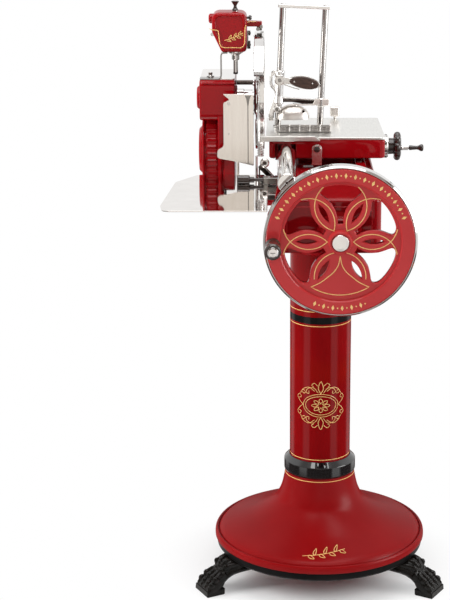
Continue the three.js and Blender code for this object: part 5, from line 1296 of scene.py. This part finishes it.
def add_light():
    """Broad lamps at both sides and above, so that upright faces turn darker towards the camera."""
    add_lamp("key", (-2850, -900, 2300), (1.6, 2.0), 95)
    add_lamp("fill", (2850, -700, 1700), (1.4, 2.2), 62, True)
    add_lamp("top", (0, -300, 3600), (2.4, 2.4), 60, True)
    for name, x, energy in (("strip_left", -2600, 24), ("strip_right", 2600, 14)):
        add_lamp(name, (x, -120, 520), (0.5, 1.4), energy, target=(0, 0, 420))
    add_lamp("front", (-300, -4200, 2600), (1.6, 1.0), 14, target=(0, 0, 1100))


def light_path(tree):
    return add_node(tree, "LightPath").outputs


def see_through(tree):
    """1 where the camera, or anything shiny or clear, looks."""
    path = light_path(tree)
    seen = calc(tree, "MAXIMUM", path["Is Camera Ray"], path["Is Glossy Ray"])
    return calc(tree, "MAXIMUM", seen, path["Is Transmission Ray"])


def stepped(tree, value, low, high):
    spread = {"Value": value, "From Min": low, "From Max": high}
    return add_node(tree, "MapRange", spread, interpolation_type="SMOOTHSTEP").outputs["Result"]


def panels(tree, vector):
    """What shiny metal sees level with it: white, with dark flags on both sides of the camera and a beige card."""
    where = parts(tree, vector)
    turn = calc(tree, "ARCTAN2", where["X"], where["Y"])
    around = add_node(tree, "MapRange", {"Value": turn, "From Min": -math.pi, "From Max": math.pi}).outputs["Result"]
    beige, pale, grey, dusk = (0.97, 0.93, 0.88), (0.76, 0.74, 0.73), (0.52, 0.51, 0.50), (0.30, 0.24, 0.22)
    return ramp(tree, around, [
        (0.0, beige), (0.022, beige), (0.034, dusk), (0.10, dusk), (0.13, grey), (0.33, grey), (0.40, WHITE),
        (0.60, WHITE), (0.86, WHITE), (0.885, pale), (0.962, pale), (0.978, beige),
    ])


def side_cards(tree, vector, length):
    """Pale paper on the floor to the left and right, that only shiny enamel shows."""
    start, faded = 0.7, 0.85
    ahead = add_node(tree, "VectorMath", {0: vector}, operation="NORMALIZE").outputs["Vector"]
    across = calc(tree, "ABSOLUTE", parts(tree, ahead)["X"])
    mask = stepped(tree, length, start, faded)
    for low, high in ((0.58, 0.68), (0.95, 0.86)):
        mask = calc(tree, "MULTIPLY", mask, stepped(tree, across, low, high))
    return mask


def add_world():
    """White for what looks past the object, with the panels for shiny metal."""
    world = bpy.data.worlds.new("studio")
    bpy.context.scene.world = world
    world.use_nodes = True
    tree = world.node_tree
    seen = add_node(tree, "TexCoord").outputs["Generated"]
    where = parts(tree, seen)
    ceiling = ramp(tree, where["Z"], [
        (0.30, (0.95, 0.92, 0.88)), (0.40, (0.14, 0.07, 0.05)), (0.66, (0.16, 0.09, 0.07)), (0.72, (0.55, 0.53, 0.52)),
        (0.86, (0.50, 0.48, 0.47)), (0.93, WHITE),
    ])
    overhead = blend(tree, stepped(tree, where["Y"], 0.15, -0.1), WHITE, ceiling)
    raised = blend(tree, stepped(tree, where["Z"], 0.2, 0.34), panels(tree, seen), overhead)
    shown = add_node(tree, "Background", {"Color": blend(tree, light_path(tree)["Is Camera Ray"], raised, WHITE)})
    room = tree.nodes["Background"]
    feed(tree, room, {"Color": WHITE, "Strength": ROOM})
    mix = add_node(tree, "MixShader", {0: see_through(tree), 1: room.outputs[0], 2: shown.outputs[0]})
    feed(tree, find(tree, "OUTPUT_WORLD"), {"Surface": mix.outputs[0]})


def add_floor():
    """Paper that turns plain white away from the object. Shiny things see it dark up to the flags' reach."""
    far, near_white, all_white, flag_start, flag_end = 60, 0.12, 0.46, 2.2, 3.0
    mesh = bpy.data.meshes.new("floor")
    mesh.from_pydata([(-far, -far, 0), (far, -far, 0), (far, far, 0), (-far, far, 0)], [], [(0, 1, 2, 3)])
    material = varied("paper", (0.93, 0.93, 0.93), (0.95, 0.95, 0.95), 0, (0.9, 1.0), 2, shine=0)
    tree = material.node_tree
    spot = add_node(tree, "TexCoord").outputs["Object"]
    length = add_node(tree, "VectorMath", {0: spot}, operation="LENGTH").outputs["Value"]
    card, dim, amber = (0.7, 0.68, 0.66), (0.10, 0.08, 0.08), (0.38, 0.12, 0.03)
    near = ramp(tree, calc(tree, "DIVIDE", length, FLAG_REACH), [
        (0.0, card), (0.12, card), (0.15, dim), (0.40, dim), (0.42, amber), (0.46, amber), (0.48, dim),
    ])
    close = blend(tree, side_cards(tree, spot, length), near, (0.8, 0.8, 0.8))
    shiny = blend(tree, stepped(tree, length, flag_start, flag_end), close, panels(tree, spot))
    white = add_node(tree, "Emission", {"Color": blend(tree, light_path(tree)["Is Glossy Ray"], WHITE, shiny)})
    both = calc(tree, "MULTIPLY", stepped(tree, length, near_white, all_white), see_through(tree))
    paper = find(tree, "BSDF_PRINCIPLED").outputs["BSDF"]
    mix = add_node(tree, "MixShader", {0: both, 1: paper, 2: white.outputs[0]})
    feed(tree, find(tree, "OUTPUT_MATERIAL"), {"Surface": mix.outputs[0]})
    mesh.materials.append(material)
    linked("floor", mesh)


def add_camera():
    focal, image_width, image_height, middle, tilt = 1700, 450, 600, 280, math.radians(15.8)
    data = bpy.data.cameras.new("camera")
    data.sensor_width, data.clip_end = 36, 200
    data.lens = focal / image_height * data.sensor_width
    data.shift_x = (image_width / 2 - middle) / image_height
    camera = linked("camera", data)
    camera.location = place(-101, -4057, 1864)
    camera.rotation_euler = (math.pi / 2 - tilt, 0, 0)
    bpy.context.scene.camera = camera


for part in frame["record"]["subparts"]:
    node = frame["nodes"][part["node"]]
    node.data.materials.clear()
    node.data.materials.append(LOOKS[part["material_slot"]])

for add in (
    add_base_disc, add_pedestal_rings, add_column, add_column_ornament, add_feet, add_flywheel, add_crank,
    add_machine_base, add_housing, add_blade, add_guard, add_plates, add_sharpener, add_rail, add_carriage, add_feed,
    add_linkage, add_table, add_clamp_frame, add_clamp_head, add_lever, add_shoe, add_comb, add_camera, add_light,
    add_world, add_floor,
):
    add()
bpy.context.scene.view_settings.view_transform = "Standard"
